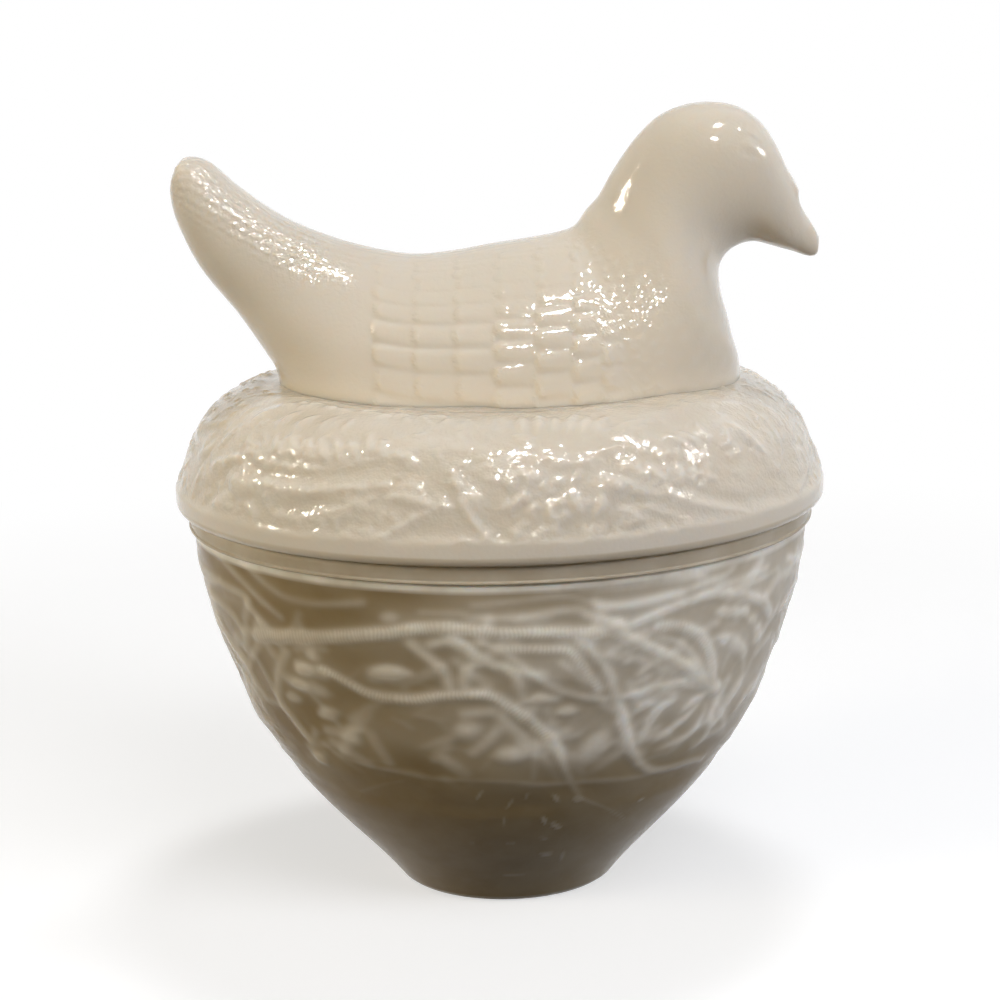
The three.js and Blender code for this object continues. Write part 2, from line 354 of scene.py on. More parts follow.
# %% [markdown]
# ## The bowl
# The real bowl is pressed in a mould that opens in parts. Its outside tapers from a plain band at the rim to
# a narrow round foot, and twigs and leaves cover the upper two thirds. The outline repeats the solid's: a
# curve through the same shares of its height and width. Turning a profile is chosen over sculpting, because
# every point then keeps the solid's size and the relief is simply added to it.

# %% Bowl outline
FOOT_RADIUS = 23.4
FOOT_ROUNDING = 2.8
RIM_RADIUS = 63.4
RIM_ROUNDING = 0.8
BOWL_HEIGHT = 80.0
BAND_FOOT = 76.6
BAND_STEP = 0.6
MOUTH_RADIUS = 58.8
MOUTH_DEPTH = 8.0
BOWL_WALL = 4.9
FLOOR_HEIGHT = 6.4
PLAIN_BELOW = 25.0
PLAIN_SPACING = 1.0
CARVED_SPACING = 0.52
BEAD = 0.32

WALL_SHARES = [
    (0.062, 0.028), (0.166, 0.09), (0.306, 0.17), (0.453, 0.26), (0.596, 0.362),
    (0.726, 0.478), (0.824, 0.607), (0.906, 0.736), (0.956, 0.84), (0.985, 0.93), (1.0, 1.0),
]
wall = np.array([
    (
        FOOT_RADIUS + (RIM_RADIUS - BAND_STEP - FOOT_RADIUS) * out,
        FOOT_ROUNDING + (BAND_FOOT - FOOT_ROUNDING) * rise,
    )
    for out, rise in WALL_SHARES
])
foot_flat = FOOT_RADIUS - FOOT_ROUNDING
foot_arc = arc((foot_flat, FOOT_ROUNDING), FOOT_ROUNDING, -90, -30, 4)
outer_wall = smooth_line(np.vstack([foot_arc[-1:], wall]))
plain = spaced(outer_wall[outer_wall[:, 1] <= PLAIN_BELOW], PLAIN_SPACING)
carved = spaced(outer_wall[outer_wall[:, 1] > PLAIN_BELOW], CARVED_SPACING)
bowl_wall = np.vstack([plain, carved])
band = np.vstack([
    arc((RIM_RADIUS - 0.1, BAND_FOOT + 0.45), BEAD, -90, 90, 8),
    [(RIM_RADIUS - 0.05, BAND_FOOT + 1.0), (RIM_RADIUS, BAND_FOOT + 1.6)],
    [(RIM_RADIUS, BOWL_HEIGHT - RIM_ROUNDING - 0.5)],
    arc((RIM_RADIUS - RIM_ROUNDING, BOWL_HEIGHT - RIM_ROUNDING), RIM_ROUNDING, 0, 90, 4),
    [(61.8, BOWL_HEIGHT), (60.4, BOWL_HEIGHT)],
    arc((MOUTH_RADIUS + RIM_ROUNDING, BOWL_HEIGHT - RIM_ROUNDING), RIM_ROUNDING, 90, 180, 4),
])
bowl_outside = np.vstack([foot_arc[:-1], bowl_wall, band])
foot_underside = np.array([
    (3.0, 1.2), (8.0, 1.2), (12.0, 1.2), (12.6, 1.05), (13.4, 0.2), (13.9, 0.0), (17.0, 0.0), (20.0, 0.0),
])

# %% Bowl inside
slope = np.gradient(outer_wall, axis=0)
slope /= np.linalg.norm(slope, axis=1)[:, None]
inner_wall = outer_wall + BOWL_WALL * np.stack([-slope[:, 1], slope[:, 0]], axis=1)
above_floor = inner_wall[:, 1] > FLOOR_HEIGHT + 5
below_mouth = inner_wall[:, 1] < BOWL_HEIGHT - MOUTH_DEPTH - 2
inner_wall = inner_wall[above_floor & below_mouth]
inner_wall = inner_wall[inner_wall[:, 0] < MOUTH_RADIUS - 0.2]
low_radius, low_height = inner_wall[0]
floor_curve = [
    (low_radius * out, FLOOR_HEIGHT + (low_height - FLOOR_HEIGHT) * rise)
    for out, rise in ((0.72, 0.42), (0.38, 0.1), (0.06, 0.0))
]
bowl_inside = spaced(smooth_line(np.vstack([
    [(MOUTH_RADIUS, BOWL_HEIGHT - 1.6), (MOUTH_RADIUS, BOWL_HEIGHT - MOUTH_DEPTH)],
    inner_wall[::-12],
    floor_curve,
])), INSIDE_SPACING)
print("bowl outline has", len(bowl_outside), "fine rings and", len(bowl_inside), "coarse ones inside")

# %% [markdown]
# ## The bowl's relief
# On the real bowl, twigs and leaves that a finger can feel stand on a ground full of smaller marks: veins,
# leaf edges, and leaves that the mould left soft. The large ones are read from the picture, one by one. The
# small ones have random places from a fixed seed, because they can't be told apart there. The picture shows
# one side only, so the back repeats it, turned by half a turn, and similar twigs join the two round the
# sides.

# %% Twigs and leaves on the bowl, read from the picture
BOWL_TWIGS = """
# the long upper branch, its knot and the two arms beyond it
hatched 12-9 0.42 256,636 286,637 318,638 342,637 366,635 390,633 410,630 430,628 450,628 470,630 500,633
    542,633 574,633 597,633 613,630
leaf 12 0.5 606,629 616,626 626,623
twig 8-9 0.42 622,629 630,626 647,619 667,610 688,602 709,595 730,594 751,597 765,604 770,614
twig 9-10 0.42 616,633 634,641 651,648 667,656 684,666 697,677 707,686
hatched 9 0.4 659,627 680,627 692,631 703,639 709,650 712,664 712,682
twig 6 0.35 660,637 678,643 690,652 699,664 706,680
# the lower vine
hatched 8-10 0.45 322,669 330,673 342,680 356,688 370,695 390,699 410,700 430,698 454,696 480,695 492,697
    505,705 522,716 536,727 549,737
twig 9-3 0.45 549,737 557,750 563,764 570,781 576,791 582,800
# stems between the two
twig 6-7 0.4 480,643 492,647 505,654 522,666 538,679 555,689 570,695 588,699 605,700
twig 6-7 0.4 618,697 642,694 657,687 672,684 688,685 705,687 713,690
hatched 7-8 0.4 505,650 526,650 547,650 563,650 574,655 582,666 590,679 599,691
twig 6 0.35 561,662 574,672 586,685
twig 7-8 0.45 579,640 592,652 603,664 611,679 615,693 620,710 624,727 628,743 634,758 645,768 657,771
    672,768 688,763 703,759
# thin lines under the band
twig 5-8 0.35 420,613 450,614 478,619 505,619 530,617 551,613 572,611 584,614 597,619 608,624
twig 4-5 0.35 470,606 505,603 530,600 555,597 572,598 584,602 597,606 612,608
twig 8 0.35 594,603 610,607 626,606 647,602 667,597 684,593
twig 6-8 0.25 580,590 613,589 638,586 663,581 688,577 704,574
twig 6 0.35 688,591 705,583 720,578 734,568
twig 6 0.35 711,592 730,583 749,577 769,567
twig 6 0.35 736,588 757,581 778,569
twig 6-7 0.3 272,590 292,600 310,604 330,605 362,603
twig 5 0.2 400,586 450,590 500,589 540,588
leaf 9 0.35 378,619 388,618 399,617
# short leaflets along the upper right twig
leaf 9 0.45 716,613 723,612 730,619
leaf 9 0.45 727,612 735,612 739,620
leaf 9 0.45 738,611 746,612 748,620
leaf 8 0.45 748,617 755,622 752,628
leaf 8 0.45 754,626 760,631 756,637
leaf 8 0.45 754,634 758,638 752,642
# the oval leaf at the right with its ribs
twig 5 0.35 714,641 722,636 731,636 740,643 745,658 743,675 738,689 728,702
leaf 10 0.35 720,636 725,640 724,648
twig 3 0.3 714,688 722,672 729,655
twig 3 0.3 715,690 727,678 737,664
leaf 11 0.35 760,676 749,689 740,702 731,716
# the fan of long leaves that spreads from one node
leaf 13 0.5 706,690 713,689 720,689
leaf 8 0.42 712,691 697,700 688,706 678,716
leaf 8 0.42 705,700 697,706 684,720 667,733 649,747
leaf 7 0.42 709,700 699,722 686,737 667,747 651,753
leaf 9 0.42 680,698 663,706 653,718 645,733 639,745
leaf 8 0.42 656,702 646,705 633,716
leaf 7 0.35 712,708 709,727 701,741 686,753
leaf 6 0.3 714,698 722,716 725,733
leaf 6 0.4 633,678 641,673 649,666
leaf 6 0.4 634,684 645,679 655,674
leaf 6 0.35 603,652 611,656 619,662
leaf 6 0.35 622,665 632,658
# leaves in the middle
leaf 9 0.35 497,662 505,666 517,681 525,704
leaf 8 0.35 522,701 540,699 560,700
leaf 10 0.4 556,717 567,712 580,711
leaf 6 0.25 555,742 572,738 588,726
leaf 9 0.35 464,700 470,668 484,664
leaf 6 0.3 462,670 468,675 476,682
leaf 22 0.16 584,768 594,748 606,730
leaf 5 0.3 588,766 596,750 603,734
leaf 5 0.3 598,764 604,750 609,738
twig 10-9 0.32 410,644 422,654 434,664 444,674 449,688
twig 9-8 0.3 430,646 448,642 464,646 476,656 492,666
leaf 12 0.35 364,675 382,672 400,673 410,680
leaf 13 0.16 374,711 362,722 350,738 340,760
twig 4 0.25 414,715 428,718 443,721
twig 4 0.25 392,719 402,723 412,729
leaf 8 0.22 414,750 448,740 484,724
leaf 16 0.22 490,758 509,756 530,757
leaf 18 0.15 450,734 466,732 484,729
twig 3 0.4 535,741 535,760 533,780
# the lower border of the relief
twig 5 0.25 322,744 338,755 356,763 380,769 410,775 440,780 474,781 500,782 522,784
twig 6-5 0.25 522,784 551,785 576,783 605,781 634,778 653,774
twig 4 0.25 360,793 382,786 402,782
# buds at the left
leaf 11 0.28 304,654 312,656 321,658
leaf 12 0.28 295,671 304,670 314,668
leaf 10 0.28 291,684 300,684 310,686
leaf 10 0.28 286,698 294,698 303,700
leaf 12 0.3 316,716 328,714 341,712
leaf 13 0.35 311,752 320,758 330,766
twig 9 0.3 286,652 280,668 278,684 280,700 290,716 300,730 309,740
# crossed strands at the far left
twig 8-7 0.35 214,552 238,578 257,597 280,618
twig 8-7 0.35 199,560 226,586 248,606 264,626
twig 7-6 0.35 240,560 258,578 278,594
twig 8-7 0.35 200,580 222,604 244,632
twig 8-7 0.35 206,604 226,636 246,664
twig 8-7 0.3 218,634 240,668 262,700
twig 7-6 0.3 236,668 256,704 280,738
twig 7-6 0.3 262,640 250,668 264,708
"""
LOW_MARKS = """
# the tail of the vine and worn leaf tips below the border
twig 7-4 0.12 576,797 590,802 608,809 625,820
leaf 5 0.25 483,790 480,795 476,802
leaf 5 0.25 513,799 510,805 506,811
leaf 5 0.2 505,816 504,821 504,826
leaf 5 0.2 529,791 527,797 524,803
leaf 7 0.25 553,794 556,799 559,804
leaf 7 0.25 542,815 544,820 546,825
leaf 8 0.25 550,821 556,826 562,829
leaf 7 0.2 539,837 545,838 551,837
leaf 9 0.2 539,853 547,854 555,853
leaf 6 0.2 563,850 562,855 561,861
leaf 4 0.2 505,843 510,844 516,843
leaf 7 0.12 498,873 512,875 527,874
leaf 7 0.2 573,797 577,801 582,802
leaf 7 0.2 636,802 640,800 645,798
leaf 5 0.15 466,843 470,844 474,843
"""
# Where the sides turn away from the camera, twigs of the same kind run on round the bowl. Here the widths are
# in millimetres, and a path holds degrees from the front and millimetres up.
SIDE_TWIGS = """
twig 2.0-1.5 0.4 66,61 76,64 88,62 100,63 112,60
twig 1.5-1.6 0.4 64,72 78,69 92,71 106,68 118,70
twig 1.4-1.2 0.4 70,56 80,50 90,47 101,45 112,47
twig 1.6-1.2 0.42 72,40 82,44 92,52 102,57 110,66
twig 1.6-1.1 0.42 74,66 84,58 93,55 104,50 110,42
twig 1.2 0.35 66,33 80,30 95,29 110,31 122,30
leaf 2.4 0.3 78,39 84,36 91,34
leaf 2.4 0.3 94,41 100,38 106,35
leaf 2.0 0.35 84,50 88,54 90,60
leaf 2.0 0.35 96,47 98,52 103,56
leaf 1.8 0.35 80,60 84,65 92,67
leaf 1.8 0.35 97,60 102,65 108,66
"""

# %% A closed turned piece
PLAIN_VALUES = {"raised": 0.4, "hatch": 0.0, "along": 0.0, "wavy": 0.5}


def shell_piece(name, low, fine, high, first_carved, carved):
    """A closed turned piece: a pole, coarse rings, fine rings with relief, coarse rings and a pole. carved
    holds, for the rings from first_carved on, the lift of each point in mm and the four values that the glass
    reads there: "raised" for its colour, "hatch" and "along" for cut lines, and "wavy" for fine marks."""
    rings = slice(first_carved, first_carved + len(carved["lift"]))
    columns = carved["lift"].shape[1]
    coarse = columns // 4
    lift = np.zeros((len(fine), columns))
    lift[rings] = carved["lift"]
    points = [
        [[0.0, 0.0, low[0, 1]]],
        turned_points(low, coarse),
        turned_points(fine, columns, lift),
        turned_points(high, coarse),
        [[0.0, 0.0, high[-1, 1]]],
    ]
    first_low = 1
    first_fine = first_low + len(low) * coarse
    first_high = first_fine + len(fine) * columns
    last = first_high + len(high) * coarse
    quads = np.vstack([
        ring_quads(first_low, len(low), coarse),
        ring_quads(first_fine, len(fine), columns),
        ring_quads(first_high, len(high), coarse),
    ])
    triangles = np.vstack([
        ring_cap(0, first_low, coarse, True),
        ring_bridge(first_fine, first_fine - coarse, coarse, False),
        ring_bridge(first_high - columns, first_high, coarse, True),
        ring_cap(last, last - coarse, coarse, False),
    ])
    values = {}
    for key, plain_value in PLAIN_VALUES.items():
        value = np.full((len(fine), columns), plain_value)
        value[rings] = carved[key]
        before = np.full(first_fine, plain_value)
        after = np.full(last + 1 - first_high, plain_value)
        values[key] = np.concatenate([before, value.ravel(), after])
    return new_piece(name, np.vstack(points), quads, triangles, values)


# %% Small ridges at random places
chance = np.random.default_rng(7)


def add_small_ridge(relief, kind, at, up_place, half, lean, wide, lift):
    """A short ridge at an angle round the axis and a length along the profile. It leans by an angle, reaches
    half its length either way, and its middle is bent by up to 0.6 mm."""
    radius = np.interp(up_place, relief["length"], relief["radius"])
    bend = chance.uniform(-0.6, 0.6)
    spots = np.array([
        (at - half * math.cos(lean) / radius, up_place - half * math.sin(lean)),
        (at, up_place + bend),
        (at + half * math.cos(lean) / radius, up_place + half * math.sin(lean)),
    ])
    add_ridge(relief, spots, kind, wide, wide, lift)


# %% Twigs and veins on the bowl
SIDE_WIDER, SIDE_TALLER = 1.5, 0.35
VEINS = 140
FULL_TURN = 2 * np.pi

relief = new_relief(bowl_wall, BOWL_COLUMNS)
add_image_ridges(relief, bowl_wall, BOWL_TWIGS, wider=1.6, taller=0.55)
wall_length = length_along(bowl_wall)
for kind, wide, wide_end, lift, spots in read_ridges(SIDE_TWIGS):
    spots = np.stack([np.radians(spots[:, 0]), np.interp(spots[:, 1], bowl_wall[:, 1], wall_length)], axis=1)
    for side in (0.0, BACK):
        add_ridge(relief, spots, kind, SIDE_WIDER * wide, SIDE_WIDER * wide_end, SIDE_TALLER * lift, side)

for i in range(VEINS):
    add_small_ridge(
        relief, TWIG, chance.uniform(0, FULL_TURN), chance.uniform(44, 80), chance.uniform(2.0, 4.5),
        chance.uniform(-1.3, 1.3), 1.1, 0.06,
    )
print("twigs and veins cover", round(float((relief["height"] > 0).mean()), 2), "of the bowl's wall")

# %% Soft leaves between the twigs
# The ground also swells and sinks slowly, as a sum of waves round the bowl and up it.
SOFT_LEAVES = 260

height_up = bowl_wall[:, 1:]
turn = relief["angle"][None, :]
swell = 0.1 * np.sin(5 * turn + 0.21 * height_up) + 0.08 * np.sin(9 * turn - 0.33 * height_up + 1.0)
swell += 0.05 * np.sin(17 * turn + 0.7 * height_up + 2.0)
soft = new_relief(bowl_wall, BOWL_COLUMNS)
for i in range(SOFT_LEAVES):
    at = chance.uniform(0, FULL_TURN)
    add_small_ridge(
        soft, MOUND, at, chance.uniform(41, 80) + 3 * math.cos(2 * (at - 0.8)), chance.uniform(2.0, 5.0),
        chance.uniform(-1.3, 1.3), chance.uniform(2.2, 4.6), 0.075,
    )
soft["height"] *= ramp(height_up, 30, 42)
bowl_height = fire_polished(relief["height"] + 0.7 * soft["height"], 2) + swell
print("bowl relief is up to", round(float(bowl_height.max()), 2), "mm high")

# %% Pale and dark on the bowl
# What stands out is pale and the ground is dark: painted light on the raised parts, and painted shade with
# some dirt in the ground. The glass is also paler round the right of the front, and half a turn on, as
# painted light from the right, repeated at the back. Close under the band that pale part is narrower, as
# painted shade under the flange.
# Painted light: the side of the bowl that faces the right, repeated half a turn on.
painted_side_light = (0.5 + 0.5 * np.cos(2 * (turn - 0.75))) * ramp(height_up, 30, 48)
painted_side_light *= 1 - (1 - painted_side_light) * ramp(height_up, 68, 76)
edge_height = np.clip(fire_polished(relief["height"] + 0.8 * soft["height"], 1) / 0.36, 0, 1)
slow_height = np.clip(fire_polished(relief["height"] + soft["height"], 24) / 0.25, 0, 1)
raised = (0.42 + 0.2 * painted_side_light) * edge_height + 0.12 * slow_height
raised = np.clip(raised + 0.48 * painted_side_light + 0.4 * swell, 0, 1)
print("the bowl's wall is", round(float(raised.mean()), 2), "pale on average, where 1 is the raised colour")

# %% Worn marks on the plain foot, and the bowl's mesh
GROUND_DEPTH = 0.25

below_band = 1 - ramp(height_up, BAND_FOOT - 2.2, BAND_FOOT - 0.8)
carved_share = ramp(height_up, PLAIN_BELOW, PLAIN_BELOW + 4) * below_band
# Painted shade: the plain foot takes the dark hollow colour, so the bowl is darker towards the bottom. The
# plain band keeps the pale one.
plain_raised = (1 - carved_share) * np.where(height_up < 50, 0.0, 1.0)
low_marks = new_relief(bowl_wall, BOWL_COLUMNS)
add_image_ridges(low_marks, bowl_wall, LOW_MARKS, turns=(0.0,))
bowl_carved = {
    "lift": carved_share * (bowl_height - GROUND_DEPTH) + 0.3 * low_marks["height"],
    "raised": raised * carved_share + plain_raised + 0.9 * low_marks["height"],
    "hatch": relief["hatch"] * carved_share,
    "along": relief["along"],
    "wavy": np.ones_like(relief["height"]),
}
bowl = shell_piece("twig_bowl", foot_underside, bowl_outside, bowl_inside, len(foot_arc) - 1, bowl_carved)

# %% [markdown]
# ## The top of the nest
# The cover sits on the bowl's rim with a smooth rounded flange, and a collar under it drops into the mouth.
# Above the flange the nest bulges and then dips towards the bird. It is the same kind of turned piece, with
# smaller leaves, straw, round buds and small hollows. The dip is shallower than the solid's, because straw
# and the rise to the bird fill part of it. Below the tail the real cover looks brown in the tail's shadow,
# and here a painted shadow that only changes the colour stands for it.

# %% Nest outline
SEAT = 80.3
FLANGE_RADIUS = 66.0
FLANGE_ROUNDING = 2.1
FLANGE_TOP = 84.9
CREST_RADIUS = 46.2
CREST_HEIGHT = 105.0
DISH_DEPTH = 2.4
COLLAR_RADIUS = 57.8
COLLAR_FOOT = 76.3
COLLAR_ROUNDING = 0.9
HOLLOW_RADIUS = 54.4
CEILING = 96.6
SLOPE_SPACING = 0.42
DISH_SPACING = 0.8

slope_points = [
    (
        FLANGE_RADIUS + (CREST_RADIUS - FLANGE_RADIUS) * inwards,
        FLANGE_TOP + (CREST_HEIGHT - FLANGE_TOP) * rise,
    )
    for inwards, rise in (
        (0, 0), (0.035, 0.09), (0.09, 0.26), (0.17, 0.44), (0.26, 0.6), (0.36, 0.73),
        (0.49, 0.84), (0.67, 0.93), (0.85, 0.983), (1, 1),
    )
]
dish_points = [
    (CREST_RADIUS * out, CREST_HEIGHT - DISH_DEPTH * down)
    for out, down in ((0.9, 0.1), (0.78, 0.46), (0.65, 0.8), (0.5, 0.96), (0.42, 0.985))
]
nest_line = smooth_line([(FLANGE_RADIUS, 82.4)] + slope_points + dish_points)
crest = np.argmax(nest_line[:, 1])
nest_slope = spaced(nest_line[: crest + 1], SLOPE_SPACING)
nest_top = np.vstack([nest_slope, spaced(nest_line[crest:], DISH_SPACING)[1:]])
nest_top[:, 0] = np.minimum(nest_top[:, 0], FLANGE_RADIUS - 0.02)
flange = np.vstack([
    [(COLLAR_RADIUS, 78.4), (COLLAR_RADIUS, SEAT - 0.4), (COLLAR_RADIUS + 0.3, SEAT)],
    [(60.5, SEAT), (63.0, SEAT)],
    arc((FLANGE_RADIUS - FLANGE_ROUNDING, SEAT + FLANGE_ROUNDING), FLANGE_ROUNDING, -90, 0, 8),
])
hollow_curve = [
    (HOLLOW_RADIUS * out, SEAT + (CEILING - SEAT) * rise)
    for out, rise in ((0.2, 1), (0.5, 1), (0.75, 1), (0.86, 0.93), (0.945, 0.75), (0.99, 0.5), (1, 0))
]
nest_inside = np.vstack([
    spaced(smooth_line(hollow_curve), INSIDE_SPACING),
    [(HOLLOW_RADIUS, 77.4)],
    arc((HOLLOW_RADIUS + COLLAR_ROUNDING, COLLAR_FOOT + COLLAR_ROUNDING), COLLAR_ROUNDING, -180, -90, 3),
    arc((COLLAR_RADIUS - COLLAR_ROUNDING, COLLAR_FOOT + COLLAR_ROUNDING), COLLAR_ROUNDING, -90, 0, 3),
])
nest_middle = np.array([(17.0, 102.6), (10.0, 102.6), (4.0, 102.6)])
print("nest outline has", len(flange) + len(nest_top), "fine rings")

# %% Leaves and straw on the nest, read from the picture
NEST_LEAVES = """
# ribs of the curled leaf at the left
leaf 9 0.35 305,408 287,415 273,430
leaf 8 0.35 322,412 303,419 292,433
leaf 8 0.35 272,408 257,417 246,431
leaf 8 0.35 247,436 252,444 262,448
leaf 8 0.35 262,430 266,440 262,450
leaf 8 0.3 340,414 326,420 316,432
leaf 8 0.3 356,416 346,424 338,434
leaf 7 0.3 240,420 246,410 258,404
# short leaflets side by side under it
leaf 13 0.35 276,432 278,444 284,458
leaf 13 0.35 290,434 292,446 297,461
leaf 13 0.35 306,437 307,448 312,462
leaf 13 0.35 320,438 322,449 326,462
leaf 13 0.35 336,439 338,449 340,461
leaf 13 0.35 350,440 352,449 354,460
leaf 13 0.35 367,434 369,445 366,458
leaf 12 0.35 381,438 382,447 376,457
# long lobe edges
twig 9 0.2 247,450 257,457 272,464 289,467 312,468 340,466 366,460 392,456 412,462
twig 9-8 0.2 249,482 270,484 284,489 300,493 322,491 342,489 362,487 386,484
twig 7 0.2 276,513 293,517 312,517 330,511 345,508 356,504
twig 7 0.22 225,484 229,474 238,469 249,470 257,478
leaf 26 0.2 228,482 239,484 252,488
leaf 18 0.25 211,502 222,499 234,497
leaf 9 0.3 240,500 250,508 258,520
leaf 9 0.35 214,462 232,459 245,456
leaf 14 0.28 198,424 208,424 222,422
leaf 12 0.28 196,452 206,450 214,440
leaf 12 0.28 218,446 226,438 236,426
# leaf and twigs left of the middle
leaf 12 0.4 381,500 398,497 418,502 438,507
leaf 14 0.3 392,488 410,486 424,496
twig 6 0.4 444,505 418,516 399,527 376,542
twig 9-5 0.5 452,472 460,493 466,510 476,525 491,541
leaf 10 0.3 462,484 473,500 482,516
twig 6 0.22 386,480 398,476 414,478 428,486 440,500
leaf 10 0.3 455,536 466,544 478,550
# straw at the bird's base
leaf 5 0.4 367,406 376,411 385,417
leaf 5 0.4 392,408 400,412 409,418
leaf 5 0.4 417,412 425,417 434,424
leaf 5 0.4 434,406 440,413 447,422
leaf 5 0.4 462,412 470,419 478,428
leaf 5 0.35 340,402 352,405 362,412
leaf 4 0.35 400,434 412,436 424,434
leaf 4 0.35 430,441 440,438 452,441
leaf 4 0.35 452,434 464,430 474,434
leaf 4 0.35 404,447 416,450 428,447
leaf 4 0.35 440,452 452,449 464,453
leaf 4 0.35 470,444 482,448 492,456
leaf 4 0.35 480,432 492,438 500,446
leaf 5 0.35 502,440 511,446 520,456
leaf 5 0.35 516,428 530,434 542,446
# fringe under the bird
leaf 13 0.3 521,414 523,422 521,432
leaf 13 0.3 538,414 539,423 537,432
leaf 13 0.3 554,414 555,423 552,432
leaf 13 0.3 571,414 570,423 567,432
leaf 13 0.3 588,414 585,423 580,433
leaf 13 0.3 606,414 600,423 594,432
twig 5 0.35 602,432 618,426 636,420 652,418
twig 5-4 0.35 612,436 628,430 646,423
twig 5 0.35 596,452 606,449 616,445
twig 6 0.22 516,434 530,442 547,449 565,452 584,452 606,448
twig 5 0.3 510,446 530,453 556,458 590,458
# fern leaflets at the right
leaf 9 0.4 661,432 676,438 694,449
leaf 9 0.4 675,430 688,436 700,446
leaf 10 0.4 696,422 700,430 708,441
leaf 9 0.4 724,427 727,437 733,448
leaf 12 0.4 724,422 738,429 752,441 767,453
twig 7 0.3 744,404 760,414 774,430 782,448 780,470
leaf 12 0.3 786,400 800,414 811,436
leaf 9 0.3 774,408 786,424 794,442
leaf 12 0.25 742,384 762,390 780,402
twig 7 0.3 802,450 808,462 808,474 799,490
leaf 14 0.28 812,440 820,458 820,480
# ridges and leaf edges in the lower middle and right
leaf 7 0.45 506,508 518,501 529,494
leaf 7 0.4 528,514 534,508 539,503
leaf 8 0.4 570,488 574,500 582,516
leaf 7 0.4 604,494 602,503 598,514
leaf 8 0.35 546,498 551,510 556,524
leaf 7 0.35 558,496 562,508 566,520
leaf 12 0.3 602,478 613,484 622,492
twig 7-6 0.25 632,490 650,494 673,496 693,502 720,507 750,512
twig 7 0.25 614,514 624,508 640,507 664,513 690,520
leaf 9 0.35 628,518 636,513 643,512
leaf 8 0.35 630,526 640,520 652,518
leaf 8 0.35 515,470 526,475 536,484
leaf 8 0.35 498,480 508,484 518,492
leaf 7 0.35 634,466 643,474 650,484
leaf 7 0.35 652,468 659,476 664,486
leaf 7 0.35 676,464 680,474 678,486
leaf 7 0.35 692,464 694,476 690,490
leaf 7 0.35 706,462 710,472 706,484
leaf 6 0.35 650,452 660,456 672,452 682,452
leaf 7 0.35 552,460 570,463 598,459
leaf 8 0.3 506,528 518,534 530,536
leaf 8 0.3 540,528 552,530 566,536
"""
NEST_HOLLOWS = """
# as for a ridge, with a depth in place of the lift
leaf 17 0.32 270,506 303,504 340,500
leaf 15 0.3 392,535 418,528 446,514
leaf 10 0.3 340,530 358,525 378,520
leaf 15 0.28 697,492 722,496 752,505
leaf 20 0.28 614,500 633,503 652,507
leaf 9 0.3 662,519 683,518 706,520
leaf 14 0.28 566,520 582,522 600,524
leaf 13 0.3 484,520 496,530 512,540
twig 9 0.25 243,433 243,452 251,462 270,472 295,477 326,478 357,473 382,464
twig 5 0.3 738,411 756,420 767,440 771,460 771,478
twig 4 0.3 767,449 785,448 804,449
twig 8 0.25 247,460 232,466 218,477 211,491
"""
NEST_MOUNDS = """
# broad soft forms under the leaves
mound 36 0.15 236,440 250,420 275,408 310,404 350,406
mound 34-30 0.16 262,452 290,452 330,454 370,450 402,456
mound 32-28 0.16 262,488 300,490 345,488 384,484
mound 30 0.13 232,486 238,486 246,487
mound 26-24 0.14 204,480 214,466 232,459 246,457
mound 24-22 0.16 212,506 235,512 262,518 300,522 330,517 352,508 372,498
mound 28-24 0.15 196,424 206,440 214,452
mound 30-24 0.16 388,496 410,494 436,506
mound 22-18 0.18 338,542 372,541 400,533 424,521 446,510
mound 26-24 0.16 446,470 456,490 466,512 480,538
mound 24 0.14 430,545 470,546 510,548 552,546
mound 30-28 0.14 396,440 430,446 470,448 505,452
mound 28 0.14 486,470 505,476 530,482 550,488
mound 24-22 0.16 504,508 520,500 536,493
mound 22 0.16 545,500 552,513 556,528
mound 24-22 0.16 568,490 574,504 582,518
mound 30-28 0.15 598,478 612,486 626,490
mound 22 0.15 604,494 600,508 594,526
mound 26-22 0.16 622,520 640,511 668,514 700,523 735,522
mound 26-24 0.15 640,490 673,495 700,503 740,512 775,506
mound 28 0.14 636,468 665,474 700,474
mound 36-30 0.14 722,422 742,432 762,447 774,466
mound 30-26 0.14 748,398 776,416 794,440 800,464 796,490
mound 24 0.14 806,428 816,450 820,475 812,497
mound 26 0.13 630,424 660,412 700,403 738,404
mound 26-22 0.14 655,440 680,438 708,440
mound 22 0.13 584,540 620,536 660,532 700,531
"""

